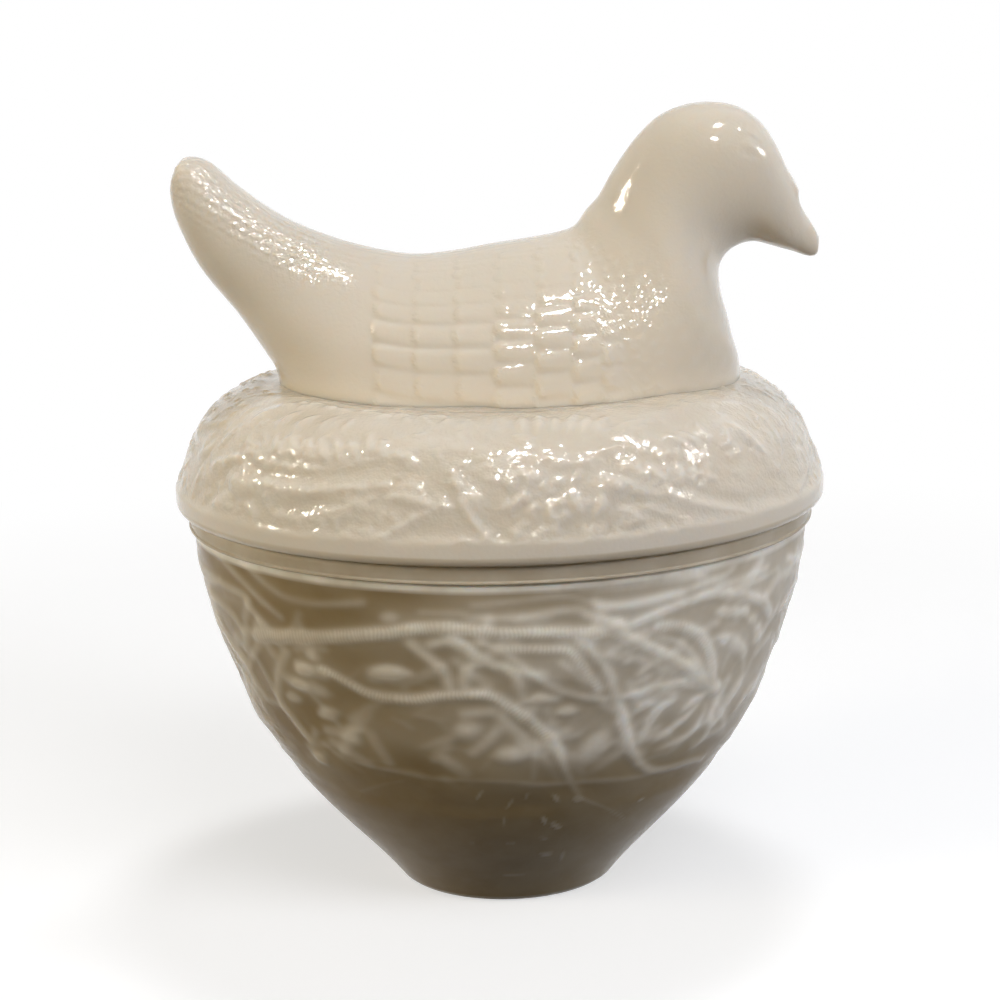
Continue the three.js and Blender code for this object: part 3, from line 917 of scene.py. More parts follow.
# %% Small buds, where the picture shows glints on the nest
NEST_BUDS = """
203,423 221,423 238,401 265,421 287,404 303,406 326,398 334,400 349,403 372,409 383,415 401,414 406,418
424,416 429,421 436,409 440,414 445,420 289,437 294,434 283,441 307,440 310,446 322,438 335,441 347,445
369,434 383,441 376,451 419,434 459,435 251,451 257,457 275,451 283,454 298,452 301,460 318,456 328,458
342,460 361,456 399,455 408,457 411,464 215,463 228,460 238,458 269,463 276,466 287,467 310,467 199,472
244,469 232,477 252,480 251,487 258,487 266,483 272,485 279,490 292,489 301,493 314,491 321,488 345,489
360,490 383,486 218,487 207,494 266,496 346,496 354,500 370,498 356,505 363,505 228,506 238,506 250,507
268,508 278,513 292,516 297,522 312,515 321,512 319,523 330,512 335,510 343,514 347,509 335,523 380,517
253,518 394,518 400,529 405,526 412,520 351,530 364,531 345,536 380,541 315,535 446,506 461,506 466,512
471,518 476,524 412,541 461,543 466,546 487,537 454,484 475,498 470,503 491,480 484,459 489,463 498,466
438,455 459,462 541,416 574,415 519,434 525,438 506,461 513,463 549,458 555,460 561,462 584,460 591,462
597,456 507,477 513,476 523,474 534,474 527,481 512,484 548,488 559,481 579,474 606,478 611,481 605,487
610,488 617,488 620,482 625,482 628,467 636,465 638,470 644,472 644,477 652,470 657,480 661,477 680,471
678,478 692,479 694,472 705,474 709,465 713,478 703,483 667,490 660,455 665,452 678,453 709,437 726,443
733,455 738,447 756,453 771,409 758,419 794,436 748,386 784,391 512,505 507,509 518,500 525,495 531,513
535,508 574,495 575,502 579,508 583,504 551,510 552,516 557,522 560,503 565,517 602,497 601,504 599,511
626,514 633,519 626,523 620,530 517,531 524,526 538,535 588,529 595,530 602,529 591,542 600,543 617,539
640,541 646,538 653,535 687,530 663,528 560,543 523,549 548,549 628,547
"""

# %% Leaves, mounds and hollows of the nest
nest_relief = new_relief(nest_top, NEST_COLUMNS)
crest_row = np.argmax(nest_top[:, 1])
slope_only = nest_top[: crest_row + 1]
add_image_ridges(nest_relief, slope_only, NEST_LEAVES, wider=1.2, taller=0.7)
mounds = new_relief(nest_top, NEST_COLUMNS)
add_image_ridges(mounds, slope_only, NEST_MOUNDS, taller=0.34)
hollows = new_relief(nest_top, NEST_COLUMNS)
add_image_ridges(hollows, slope_only, NEST_HOLLOWS, wider=1.2, taller=0.4)
print("leaves cover", round(float((nest_relief["height"] > 0).mean()), 2), "of the nest")

# %% Straw on the crest, and small leaves and buds all round
STRAWS = 160
LEAFLETS = 420
SIDE_BUDS = 150
LOWEST_BUD = 2.6
crest_length = nest_relief["length"][crest_row]

for i in range(STRAWS):
    side = chance.choice([-1, 1])
    add_small_ridge(
        nest_relief, LEAF, chance.uniform(0, FULL_TURN), crest_length + chance.uniform(-1.5, 13.0),
        chance.uniform(1.8, 3.4), side * chance.uniform(0.3, 1.1), chance.uniform(1.1, 1.6), 0.06,
    )
for i in range(LEAFLETS):
    side = chance.choice([-1, 1])
    add_small_ridge(
        nest_relief, LEAF, chance.uniform(0, FULL_TURN), chance.uniform(LOWEST_BUD, crest_length - 1.0),
        chance.uniform(1.2, 2.6), side * chance.uniform(0.2, 1.4), chance.uniform(1.7, 2.8), 0.06,
    )
bud_relief = new_relief(nest_top, NEST_COLUMNS)
for at, up_place in laid_on(read_path(NEST_BUDS), slope_only):
    for turn in (0.0, BACK):
        add_small_ridge(bud_relief, MOUND, at + turn, up_place, 0.7, chance.uniform(-1.5, 1.5), 2.3, 0.11)
for i in range(SIDE_BUDS):
    at = chance.choice([0.0, BACK]) + chance.uniform(1.15, 2.0)
    up_place = chance.uniform(LOWEST_BUD, crest_length - 1.0)
    add_small_ridge(bud_relief, MOUND, at, up_place, 0.4, chance.uniform(-1.5, 1.5), 1.9, 0.14)

# %% Nest height
CARVED_FROM = 84.3
NEST_GROUND = 0.4

rise = nest_top[:, 1:]
on_slope = (np.arange(len(nest_top)) <= crest_row)[:, None]
carved_share = np.where(on_slope, ramp(rise, CARVED_FROM, CARVED_FROM + 1.8), 1.0)
turn = nest_relief["angle"][None, :]
swell = 0.1 * np.sin(6 * turn + 0.4 * rise) + 0.07 * np.sin(13 * turn - 0.6 * rise + 2.0)
swell += 0.05 * np.sin(29 * turn + 1.1 * rise + 1.0) * np.sin(11 * turn - 0.9 * rise)
nest_height = fire_polished(nest_relief["height"], 1) + bud_relief["height"]
nest_height += fire_polished(mounds["height"] - hollows["height"], 6) + swell
room = FLANGE_RADIUS - 0.05 - nest_top[:, :1]
print("nest relief is up to", round(float(nest_height.max()), 2), "mm high")

# %% Where the nest rises to the bird, and its mesh
# A fillet leads up to the oval on which the bird sits. The tail's painted shadow lies on the crest below the
# tail.
BIRD_OVAL = {"middle": 3.0, "half_length": 45.0, "half_width": 26.5}
FILLET = 0.8
flat_x = nest_top[:, :1] * np.sin(turn) - BIRD_OVAL["middle"]
flat_y = nest_top[:, :1] * np.cos(turn)
oval = np.hypot(flat_x / BIRD_OVAL["half_length"], flat_y / BIRD_OVAL["half_width"])
off_bird = (oval - 1) * np.hypot(flat_x, flat_y) / np.maximum(oval, 1e-3)
fillet = np.where(on_slope, 0.0, FILLET * (1 - ramp(off_bird, -1.0, 6.0)) ** 1.5)
# Painted shadow of the tail: the crest below it takes a darker, browner colour.
painted_tail_shadow = (1 - ramp(flat_x, -52, -36)) * (1 - ramp(np.abs(flat_y), 16, 32)) * ramp(rise, 96, 101)
# The nest's hollows are a little darker: partly dirt, partly painted shade.
nest_raised = 0.7 + 0.3 * np.clip(0.2 + nest_height / 0.55, 0, 1) * carved_share
nest_raised += 0.27 * (1 - carved_share)
nest_carved = {
    "lift": carved_share * np.minimum(nest_height - NEST_GROUND, room) + fillet,
    "raised": nest_raised * (1 - painted_tail_shadow),
    "hatch": np.zeros_like(nest_height),
    "along": np.zeros_like(nest_height),
    "wavy": 0.4 + 0.9 * carved_share,
}
first_carved = len(flange) - 1
nest_outside = np.vstack([flange[:-1], nest_top])
nest = shell_piece("nest_cover", nest_inside, nest_outside, nest_middle, first_carved, nest_carved)

# %% [markdown]
# ## The bird
# On the real cover the bird is one pressing with the nest. Its body could be modelled by hand, but here it
# is a surface of two parameters, as the solid is: between an upper and a lower outline, each section swings
# from one to the other while its width swells and closes. The wing's feathers are overlapping scales. Each
# is highest near its tip, which points to the tail, and sinks towards the head, where the next one covers
# it. The neck and the breast have round pebbles, the tail has small barbs, and the back has fine lines.

# %% Bird surface
BIRD_SECTIONS = np.array([
    # upper x and z, lower x and z, half width and sag, as shares of the bird's length, rise and width
    (-0.492, 0.794, -0.495, 0.769, 0.03, 0), (-0.474, 0.837, -0.499, 0.715, 0.1, 0),
    (-0.443, 0.825, -0.496, 0.647, 0.135, 0), (-0.397, 0.73, -0.488, 0.583, 0.17, 0),
    (-0.331, 0.615, -0.459, 0.434, 0.205, 0), (-0.26, 0.537, -0.4, 0.247, 0.24, 0.05),
    (-0.188, 0.485, -0.353, 0.074, 0.3, 0.14), (-0.126, 0.461, -0.31, -0.078, 0.375, 0.2),
    (-0.065, 0.472, -0.218, -0.162, 0.435, 0.24), (-0.004, 0.496, -0.081, -0.194, 0.478, 0.26),
    (0.05, 0.513, 0.058, -0.204, 0.495, 0.28), (0.092, 0.532, 0.18, -0.194, 0.483, 0.3),
    (0.119, 0.555, 0.287, -0.153, 0.45, 0.32), (0.137, 0.611, 0.349, -0.073, 0.41, 0.34),
    (0.157, 0.664, 0.371, 0.037, 0.368, 0.32), (0.175, 0.739, 0.362, 0.139, 0.325, 0.28),
    (0.195, 0.812, 0.353, 0.231, 0.283, 0.2), (0.218, 0.883, 0.343, 0.324, 0.25, 0.1),
    (0.251, 0.954, 0.342, 0.398, 0.234, 0.02), (0.291, 0.992, 0.355, 0.448, 0.229, -0.04),
    (0.333, 1, 0.375, 0.476, 0.226, -0.06), (0.373, 0.979, 0.396, 0.484, 0.218, -0.06),
    (0.404, 0.926, 0.419, 0.47, 0.199, -0.04), (0.428, 0.843, 0.437, 0.457, 0.165, 0),
    (0.445, 0.756, 0.453, 0.446, 0.128, 0.02), (0.459, 0.678, 0.464, 0.437, 0.097, 0.02),
    (0.468, 0.611, 0.474, 0.428, 0.076, 0), (0.481, 0.559, 0.483, 0.424, 0.058, 0),
    (0.493, 0.509, 0.491, 0.428, 0.039, 0), (0.499, 0.472, 0.4965, 0.448, 0.015, 0),
])
BIRD_LENGTH = 130.5
BIRD_RISE = 53.95
BIRD_WIDTH = 55.0
BIRD_OFFSET = 0.5
BIRD_ROUND = 310
BIRD_ALONG = 300

upper = BIRD_SECTIONS[:, [0, 1, 4]] * (BIRD_LENGTH, BIRD_RISE, BIRD_WIDTH) + (BIRD_OFFSET, CREST_HEIGHT, 0)
lower = BIRD_SECTIONS[:, [2, 3, 5]] * (BIRD_LENGTH, BIRD_RISE, 1) + (BIRD_OFFSET, CREST_HEIGHT, 0)


def bird_surface(where, around):
    """Points of the bird. Between the upper and the lower outline a point swings with (1 + cos a) / 2, and
    its distance from the middle plane is width times sin a times (1 - sag times cos a)."""
    top = smooth(upper, where)[:, None, :]
    bottom = smooth(lower, where)[:, None, :]
    swing = ((1 + np.cos(around)) / 2)[None, :]
    across = -top[..., 2] * np.sin(around) * (1 - bottom[..., 2] * np.cos(around))
    x = bottom[..., 0] + (top[..., 0] - bottom[..., 0]) * swing
    z = bottom[..., 1] + (top[..., 1] - bottom[..., 1]) * swing
    return np.stack([x, across, z], axis=-1)


# %% Points of the bird, closer together where feathers need them
# Rings lie closer together where the pace is higher: on the tail first, then on the wing.
stretch = np.linspace(0, len(upper) - 1, 2000)
middle_line = (smooth(upper, stretch)[:, :2] + smooth(lower, stretch)[:, :2]) / 2
pace = np.linalg.norm(np.diff(middle_line, axis=0), axis=1)
pace = pace * np.interp(middle_line[1:, 0], [-34, -26, 24, 34], [1.3, 1.1, 1.1, 0.65])
travelled = np.concatenate([[0], np.cumsum(pace + 0.004)])
along_bird = np.interp(np.linspace(0, travelled[-1], BIRD_ALONG + 2)[1:-1], travelled, stretch)
even_turn = np.arange(BIRD_ROUND) * 2 * np.pi / BIRD_ROUND
around_bird = even_turn - 0.22 * np.sin(even_turn) + 0.13 * np.sin(2 * even_turn)
body = bird_surface(along_bird, around_bird)

lengthwise = np.gradient(body, axis=0)
roundwise = (np.roll(body, -1, axis=1) - np.roll(body, 1, axis=1)) / 2
outward = np.cross(roundwise, lengthwise)
outward /= np.linalg.norm(outward, axis=2)[..., None] + 1e-12
ring_gaps = np.linalg.norm(lengthwise, axis=2).mean(axis=1)
print("bird rings are", round(float(ring_gaps.min()), 2), "to", round(float(ring_gaps.max()), 2), "mm apart")

# %% Places on the bird
# A place is counted in mm down from the ridge of the back, round the body, or as a share of half the girth.
step_round = np.linalg.norm(np.roll(body, -1, axis=1) - body, axis=2)
half = BIRD_ROUND // 2
from_ridge = np.concatenate([np.zeros((BIRD_ALONG, 1)), np.cumsum(step_round[:, :half], axis=1)], axis=1)
girth = from_ridge[:, -1:]
from_ridge = np.concatenate([from_ridge, from_ridge[:, 1:-1][:, ::-1]], axis=1)
share_round = from_ridge / girth
print("half the bird's girth is up to", round(float(girth.max()), 1), "mm")
x, z = body[..., 0], body[..., 2]


# %% Helpers for feathers and buds
def scales(along, across, bulge, edge, fall, groove):
    """Overlapping feathers, counted along and across. In one, place runs from 0 at the tip to 1 at the root.
    Along it the height is 0.3, plus 0.7 times 1 - place, which comes in within edge of the tip. Across it the
    height falls by groove at the sides, with the place across to the power fall. The tip bulges by bulge.
    Also gives 1 on the steep tips, which fades behind them and towards the sides."""
    b = 2 * (across - np.floor(across)) - 1
    place = along - bulge * b**2
    place = place - np.floor(place)
    tips = (1 - ramp(place, 1.2 * edge, 2.2 * edge)) * (1 - ramp(np.abs(b), 0.4, 0.9))
    return (0.3 + 0.7 * ramp(place, 0.0, edge) * (1 - place)) * (1 - groove * np.abs(b) ** fall), tips


def shifted(count, most):
    """A different shift for each whole number in count, up to most either way."""
    shifts = chance.uniform(-most, most, 97)
    return shifts[np.floor(count).astype(int) % 97]


def buds(along, across, stray):
    """Round buds, one in each cell counted along and across, with every other column half a cell on. A bud
    sits up to stray of a cell from its middle. Its height is (1 - 4.5 d^2)^2 at the distance d, in cells."""
    column = np.floor(across)
    along = along + 0.5 * (column % 2)
    row = np.floor(along)
    strays = chance.uniform(-stray, stray, (2, 97, 89))
    pick = (column.astype(int) % 97, row.astype(int) % 89)
    off_along = along - row - 0.5 - strays[0][pick]
    off_across = across - column - 0.5 - strays[1][pick]
    return (1 - np.clip(4.5 * (off_along**2 + off_across**2), 0, 1)) ** 2


# %% Feathers of the wing
# The ends are places along the bird in mm. The rows are mm down from the ridge of the back, on a body whose
# half girth is 62 mm. Up to the given column the feathers are long, and from there on they are short and
# staggered.
FEATHER_ENDS = [-48.0, -40.0, -32.0, -24.0, -16.2, -8.2, -0.6, 7.4, 14.6, 20.4, 26.0, 31.5, 36.5, 41.0]
ROWS_BEHIND = [0.0, 3.0, 5.6, 8.0, 10.4, 13.0, 16.0, 19.6, 23.5, 28.0, 32.6, 37.4, 42.5, 48.0, 62.0]
ROWS_AHEAD = [0.0, 3.2, 6.2, 9.0, 12.0, 15.4, 19.0, 22.8, 26.6, 30.4, 34.4, 38.4, 42.5, 48.0, 62.0]
SHORT_FROM_COLUMN = 6
WING_HALF_GIRTH = 62

column = np.interp(x, FEATHER_ENDS, np.arange(len(FEATHER_ENDS)))
stagger = 0.5 * (np.floor(column) % 2)
down_side = share_round * WING_HALF_GIRTH
row_behind = np.interp(down_side, ROWS_BEHIND, np.arange(len(ROWS_BEHIND)))
row_ahead = np.interp(down_side, ROWS_AHEAD, np.arange(len(ROWS_AHEAD))) + stagger
groove = 0.25 + 0.75 * ramp(down_side, 13, 25)
long_feathers, long_tips = scales(column + shifted(row_behind, 0.05), row_behind, 0.08, 0.1, 2.8, groove)
short_feathers, short_tips = scales(column + shifted(row_ahead, 0.08), row_ahead, 0.14, 0.16, 2.4, groove)
feathers = np.where(column < SHORT_FROM_COLUMN, long_feathers, 1.15 * short_feathers)
steep_tips = np.where(column < SHORT_FROM_COLUMN, long_tips, short_tips)
low_rows = 0.32 + 0.68 * ramp(down_side, 12, 30)
feather_share = ramp(x, -25.0, -23.9) * (1 - ramp(x + 0.25 * (z - 120), 17, 24))
feather_share = feather_share * ramp(share_round, 0.07, 0.15) * low_rows
print("feathers cover", round(float((feather_share > 0.1).mean()), 2), "of the bird")

# %% Pebbles on the neck and breast, barbs on the tail and lines on the back
pebbles = buds(from_ridge / 2.3, (x + 0.35 * (z - 120)) / 2.5, 0.24)
pebble_share = ramp(x + 0.25 * (z - 120), 14, 22) * (1 - ramp(z + 0.3 * (x - 30), 124, 133))
pebble_share *= 1 - 0.85 * ramp(x, 29, 37)
breast = buds(from_ridge / 4.2, (x + 0.5 * (z - 110)) / 4.6, 0.12)
breast_share = ramp(x, 31, 37) * (1 - ramp(z, 118, 127))
tail_place = length_along(body[:, 0])[:, None]
barbs = buds(tail_place / 2.4, from_ridge / 1.9, 0.1)
barb_share = (1 - ramp(x, -38, -26)) * ramp(x, -65, -62.5)
barb_share = barb_share * ramp(from_ridge, 2.0, 4.0) * (1 - ramp(from_ridge, 12, 19))
back_lines = np.sin(2 * np.pi * (from_ridge / 2.0 + 0.2 * np.sin(x / 4)))
back_share = ramp(x, -34, -24) * (1 - ramp(x, 8, 14)) * (1 - ramp(from_ridge, 8, 14))

# %% Height, colour and fine marks of the bird
# Between feathers the glass is a little darker, as painted shade in the grooves, and below the tail it is
# darker again, as the tail's painted shadow. The fine marks are strongest on steep tips, pebbles and barbs,
# because that is where the picture sparkles.
feather_height = 0.95 * feathers * feather_share + 0.14 * pebbles * pebble_share * (1 - breast_share)
feather_height += 0.08 * breast * breast_share
feather_height = fire_polished(feather_height.T, 1).T + 0.2 * barbs * barb_share
carved_share = np.clip(feather_share + pebble_share + breast_share, 0, 1)
feather_lift = feather_height + 0.025 * back_lines * back_share - 0.2 * carved_share
# Painted shade: the colour darkens between feathers, where the relief is low.
raised = 0.55 - 0.55 * carved_share * (1 - np.clip(feather_height / 0.12, 0, 1))
# Painted shadow of the tail on the bird's rear, low down by the nest.
painted_tail_shadow = (1 - ramp(x, -44, -26)) * (1 - ramp(z, 106, 122))
raised = (0.7 + 0.3 * raised) * (1 - 0.5 * painted_tail_shadow)
wavy = 0.5 + 1.2 * barb_share + 1.6 * steep_tips * feather_share
wavy += 1.4 * pebbles * pebble_share * (1 - breast_share)
print("the bird's relief is up to", round(float(feather_lift.max()), 2), "mm high")

# %% Face and finished bird
# An eye is a small bead in a shallow ring. The cere is the ridge above the beak, and the skirt is the rise of
# the lowest feathers to the nest.
EYE = np.array([50.2, -10.4, 150.7])
CERE = np.array([60.6, 0.0, 142.6])
SKIRT = 1.5
END_RAISED, END_WAVY = 0.86, 0.8

for side in (1, -1):
    away = np.linalg.norm(body - EYE * (1, side, 1), axis=2)
    feather_lift += 0.2 * (1 - ramp(away, 0.2, 1.5)) - 0.09 * (1 - ramp(np.abs(away - 2.1), 0.0, 0.9))
along_face = (body - CERE) @ np.array([0.45, 0.0, -0.89])
off_face = np.linalg.norm(body - CERE, axis=2)
cere_lift = 0.45 * ramp(along_face, -4.5, 1.0) * (1 - ramp(along_face, 1.2, 2.8))
feather_lift += cere_lift * (1 - ramp(off_face, 3.5, 6.0))
feather_lift += SKIRT * (1 - ramp(z, CREST_HEIGHT - 2, CREST_HEIGHT + 4.5)) ** 1.5
feathered = body + outward * feather_lift[..., None]

ends = [body[0].mean(axis=0), body[-1].mean(axis=0)]
bird_points = np.vstack([[ends[0]], feathered.reshape(-1, 3), [ends[1]]])
bird_quads = ring_quads(1, BIRD_ALONG, BIRD_ROUND)
bird_caps = np.vstack([
    ring_cap(0, 1, BIRD_ROUND, True),
    ring_cap(len(bird_points) - 1, len(bird_points) - 1 - BIRD_ROUND, BIRD_ROUND, False),
])
bird_raised = np.concatenate([[END_RAISED], raised.ravel(), [END_RAISED]])
bird_wavy = np.concatenate([[END_WAVY], wavy.ravel(), [END_WAVY]])
bird = new_piece("bird", bird_points, bird_quads, bird_caps, {"raised": bird_raised, "wavy": bird_wavy})

# %% [markdown]
# ## The hollow under the bird
# A plunger presses the cover from below and leaves one hollow under the nest and the bird. It is a dome, the
# upper half of a stretched ball. A boolean cut takes it out of both pieces. The nest's dome is a touch
# smaller, so that the two cut faces don't lie on each other. The bird's has a wide brim, which also takes
# off what would hang below the nest.

# %% Cut the hollow
HOLLOW_LENGTH = 84.0
HOLLOW_WIDTH = 43.0
HOLLOW_RISE = 28.0
HOLLOW_OFFSET = 4.0
CUT_FROM = 88.0
NEST_SHRINK = 0.12
BRIM = 62.0


def dome(name, shrink, brim, foot, seat):
    """A closed cutting shape: a dome on a straight foot, with a wide flat brim where one is asked for."""
    rise = np.radians(np.linspace(0, 86, 24))
    arch = np.stack([np.cos(rise), np.sin(rise)], axis=1)
    turn = np.arange(DOME_COLUMNS) * 2 * np.pi / DOME_COLUMNS
    half_x, half_y = HOLLOW_LENGTH / 2 - shrink, HOLLOW_WIDTH / 2 - shrink
    rings = [(brim, brim, foot), (brim, brim, seat)] if brim else [(half_x, half_y, foot)]
    arch_rise = HOLLOW_RISE - shrink
    rings += [(half_x * out, half_y * out, seat + arch_rise * up_share) for out, up_share in arch]
    x_size, y_size, level = np.array(rings).T[:, :, None]
    round_points = [HOLLOW_OFFSET + x_size * np.sin(turn), -y_size * np.cos(turn), level + 0 * turn]
    points = np.stack(round_points, axis=-1).reshape(-1, 3)
    top = [HOLLOW_OFFSET, 0, seat + HOLLOW_RISE - shrink]
    points = np.vstack([[[HOLLOW_OFFSET, 0, foot]], points, [top]])
    last = len(points) - 1
    caps = np.vstack([
        ring_cap(0, 1, DOME_COLUMNS, True),
        ring_cap(last, last - DOME_COLUMNS, DOME_COLUMNS, False),
    ])
    return new_piece(name, points, ring_quads(1, len(rings), DOME_COLUMNS), caps)


def cut_away(piece, cutter):
    """Takes the cutter out of a piece with a boolean modifier, applies it and removes the cutter."""
    modifier = piece.modifiers.new("cut", "BOOLEAN")
    modifier.operation = "DIFFERENCE"
    modifier.solver = "MANIFOLD"
    modifier.object = cutter
    bpy.context.view_layer.update()
    graph = bpy.context.evaluated_depsgraph_get()
    mesh = bpy.data.meshes.new_from_object(piece.evaluated_get(graph))
    piece.modifiers.clear()
    old = piece.data
    piece.data = mesh
    mesh.name = piece.name
    bpy.data.meshes.remove(old)
    bpy.data.objects.remove(cutter)
    mesh.calc_loop_triangles()
    kept = [name for name in PLAIN_VALUES if name in mesh.attributes]
    print(piece.name, "has", len(mesh.loop_triangles), "triangles after the cut, and keeps", kept)


cut_away(nest, dome("nest_hollow", NEST_SHRINK, 0.0, CUT_FROM, CEILING))
cut_away(bird, dome("bird_hollow", 0.0, BRIM, CUT_FROM, CEILING + 0.1))

# %% [markdown]
# ## Milk glass
# Milk glass is white because light scatters inside it, so light enters, wanders a little and comes out
# again. The surface itself is smooth and shiny from the fire. The material is one plain shader with light
# scattering inside it, and two shared effects that both pieces use with their own numbers. One is the
# colour: pale where the relief stands out and browner in the hollows, and with slow clouds over both. The
# pale and brown are partly dirt, where a cloth doesn't reach, and partly painted light and painted shade.
# The other is the surface: the mould's fine marks, which break a reflection into sparkles, and the lines
# that the mould maker cut across the long twigs. Fine lines in the mesh would need too many faces, so they
# are bump.


# %% Helpers for nodes
NUMBER, COLOUR = "NodeSocketFloat", "NodeSocketColor"


def group_nodes(name, inputs, outputs):
    """A new shader node group with named sockets, given as name, kind and default value."""
    group = bpy.data.node_groups.new(name, "ShaderNodeTree")
    for socket_name, kind, value in inputs:
        socket = group.interface.new_socket(socket_name, in_out="INPUT", socket_type=kind)
        socket.default_value = value
    for socket_name, kind in outputs:
        group.interface.new_socket(socket_name, in_out="OUTPUT", socket_type=kind)
    return group, group.nodes.new("NodeGroupInput"), group.nodes.new("NodeGroupOutput")


def math_node(nodes, link, operation, first, second):
    """A math node whose inputs are sockets or plain numbers. Returns its output."""
    node = nodes.new("ShaderNodeMath")
    node.operation = operation
    for place, value in enumerate((first, second)):
        if isinstance(value, (int, float)):
            node.inputs[place].default_value = value
        else:
            link(value, node.inputs[place])
    return node.outputs[0]


def colour_mix(nodes, link, share, first, second):
    """A colour mix. The colour sockets of a mix node are its inputs 6 and 7 and its output 2."""
    mix = nodes.new("ShaderNodeMix")
    mix.data_type = "RGBA"
    link(share, mix.inputs[0])
    link(first, mix.inputs[6])
    link(second, mix.inputs[7])
    return mix.outputs[2]


def noise_in_object(nodes, link, size, detail):
    """Noise in object coordinates. Its scale is a plain number or comes from a socket."""
    place = nodes.new("ShaderNodeTexCoord")
    noise = nodes.new("ShaderNodeTexNoise")
    noise.inputs["Detail"].default_value = detail
    link(place.outputs["Object"], noise.inputs["Vector"])
    if isinstance(size, float):
        noise.inputs["Scale"].default_value = size
    else:
        link(size, noise.inputs["Scale"])
    return noise.outputs["Fac"]


# %% The shared colour
NOISE_LOW, NOISE_HIGH = 0.35, 0.65


def cross_wave(nodes, link, pitch):
    """A wave along a hatched twig: the sine of 2 pi times the length along it over the pitch, both in mm,
    plus a slow noise that makes it uneven. The twig's strength, which is 0 elsewhere, multiplies it."""
    along = nodes.new("ShaderNodeAttribute")
    along.attribute_name = "along"
    hatch = nodes.new("ShaderNodeAttribute")
    hatch.attribute_name = "hatch"
    waves = math_node(nodes, link, "DIVIDE", along.outputs["Fac"], pitch)
    stray = noise_in_object(nodes, link, 260.0, 1.0)
    waves = math_node(nodes, link, "ADD", waves, math_node(nodes, link, "MULTIPLY", stray, 3.0))
    turns = math_node(nodes, link, "MULTIPLY", waves, 2 * math.pi)
    wave = math_node(nodes, link, "SINE", turns, 0.0)
    return math_node(nodes, link, "MULTIPLY", wave, hatch.outputs["Fac"])


def pressed_colour_group():
    """The colour of pressed glass: a mix of a hollow and a raised colour by the "raised" value and the cut
    lines, and over it a third colour in slow clouds."""
    group, given, result = group_nodes(
        "pressed glass colour",
        [
            ("Raised Colour", COLOUR, (0.8, 0.8, 0.8, 1)),
            ("Hollow Colour", COLOUR, (0.6, 0.6, 0.6, 1)),
            ("Cloud Colour", COLOUR, (0.7, 0.7, 0.7, 1)),
            ("Cloud Size", NUMBER, 40.0),
            ("Cloud Amount", NUMBER, 0.5),
            ("Line Pitch", NUMBER, 0.8),
            ("Line Share", NUMBER, 0.0),
        ],
        [("Colour", COLOUR)],
    )
    nodes, link = group.nodes, group.links.new
    raised = nodes.new("ShaderNodeAttribute")
    raised.attribute_name = "raised"
    wave = cross_wave(nodes, link, given.outputs["Line Pitch"])
    lines = math_node(nodes, link, "MULTIPLY", wave, given.outputs["Line Share"])
    share = math_node(nodes, link, "ADD", raised.outputs["Fac"], lines)
    hollow_colour, raised_colour = given.outputs["Hollow Colour"], given.outputs["Raised Colour"]
    relief_colour = colour_mix(nodes, link, share, hollow_colour, raised_colour)
    clouds = nodes.new("ShaderNodeMapRange")
    clouds.inputs["From Min"].default_value = NOISE_LOW
    clouds.inputs["From Max"].default_value = NOISE_HIGH
    link(noise_in_object(nodes, link, given.outputs["Cloud Size"], 3.0), clouds.inputs["Value"])
    share = math_node(nodes, link, "MULTIPLY", clouds.outputs["Result"], given.outputs["Cloud Amount"])
    clouded = colour_mix(nodes, link, share, relief_colour, given.outputs["Cloud Colour"])
    link(clouded, result.inputs["Colour"])
    return group


# %% The shared surface
def pressed_surface_group():
    """The surface of pressed glass: a roughness that varies a little, and a height in metres. The height is
    the cut lines, plus the fine mould marks times the "wavy" value."""
    group, given, result = group_nodes(
        "pressed glass surface",
        [
            ("Mark Size", NUMBER, 900.0),
            ("Mark Height", NUMBER, 0.00002),
            ("Line Pitch", NUMBER, 0.6),
            ("Line Height", NUMBER, 0.00005),
            ("Smooth Roughness", NUMBER, 0.1),
            ("Dull Roughness", NUMBER, 0.3),
        ],
        [("Roughness", NUMBER), ("Height", NUMBER)],
    )
    nodes, link = group.nodes, group.links.new
    marks = noise_in_object(nodes, link, given.outputs["Mark Size"], 1.0)
    rough = nodes.new("ShaderNodeMapRange")
    rough.inputs["From Min"].default_value = NOISE_LOW
    rough.inputs["From Max"].default_value = NOISE_HIGH
    link(marks, rough.inputs["Value"])
    link(given.outputs["Smooth Roughness"], rough.inputs["To Min"])
    link(given.outputs["Dull Roughness"], rough.inputs["To Max"])
    wave = cross_wave(nodes, link, given.outputs["Line Pitch"])
    line_height = math_node(nodes, link, "MULTIPLY", wave, given.outputs["Line Height"])
    wavy = nodes.new("ShaderNodeAttribute")
    wavy.attribute_name = "wavy"
    mark_height = math_node(nodes, link, "MULTIPLY", marks, given.outputs["Mark Height"])
    mark_height = math_node(nodes, link, "MULTIPLY", mark_height, wavy.outputs["Fac"])
    height = math_node(nodes, link, "ADD", line_height, mark_height)
    link(rough.outputs["Result"], result.inputs["Roughness"])
    link(height, result.inputs["Height"])
    return group


pressed_colour = pressed_colour_group()
pressed_surface = pressed_surface_group()
print("shared effects:", pressed_colour.name, "and", pressed_surface.name)


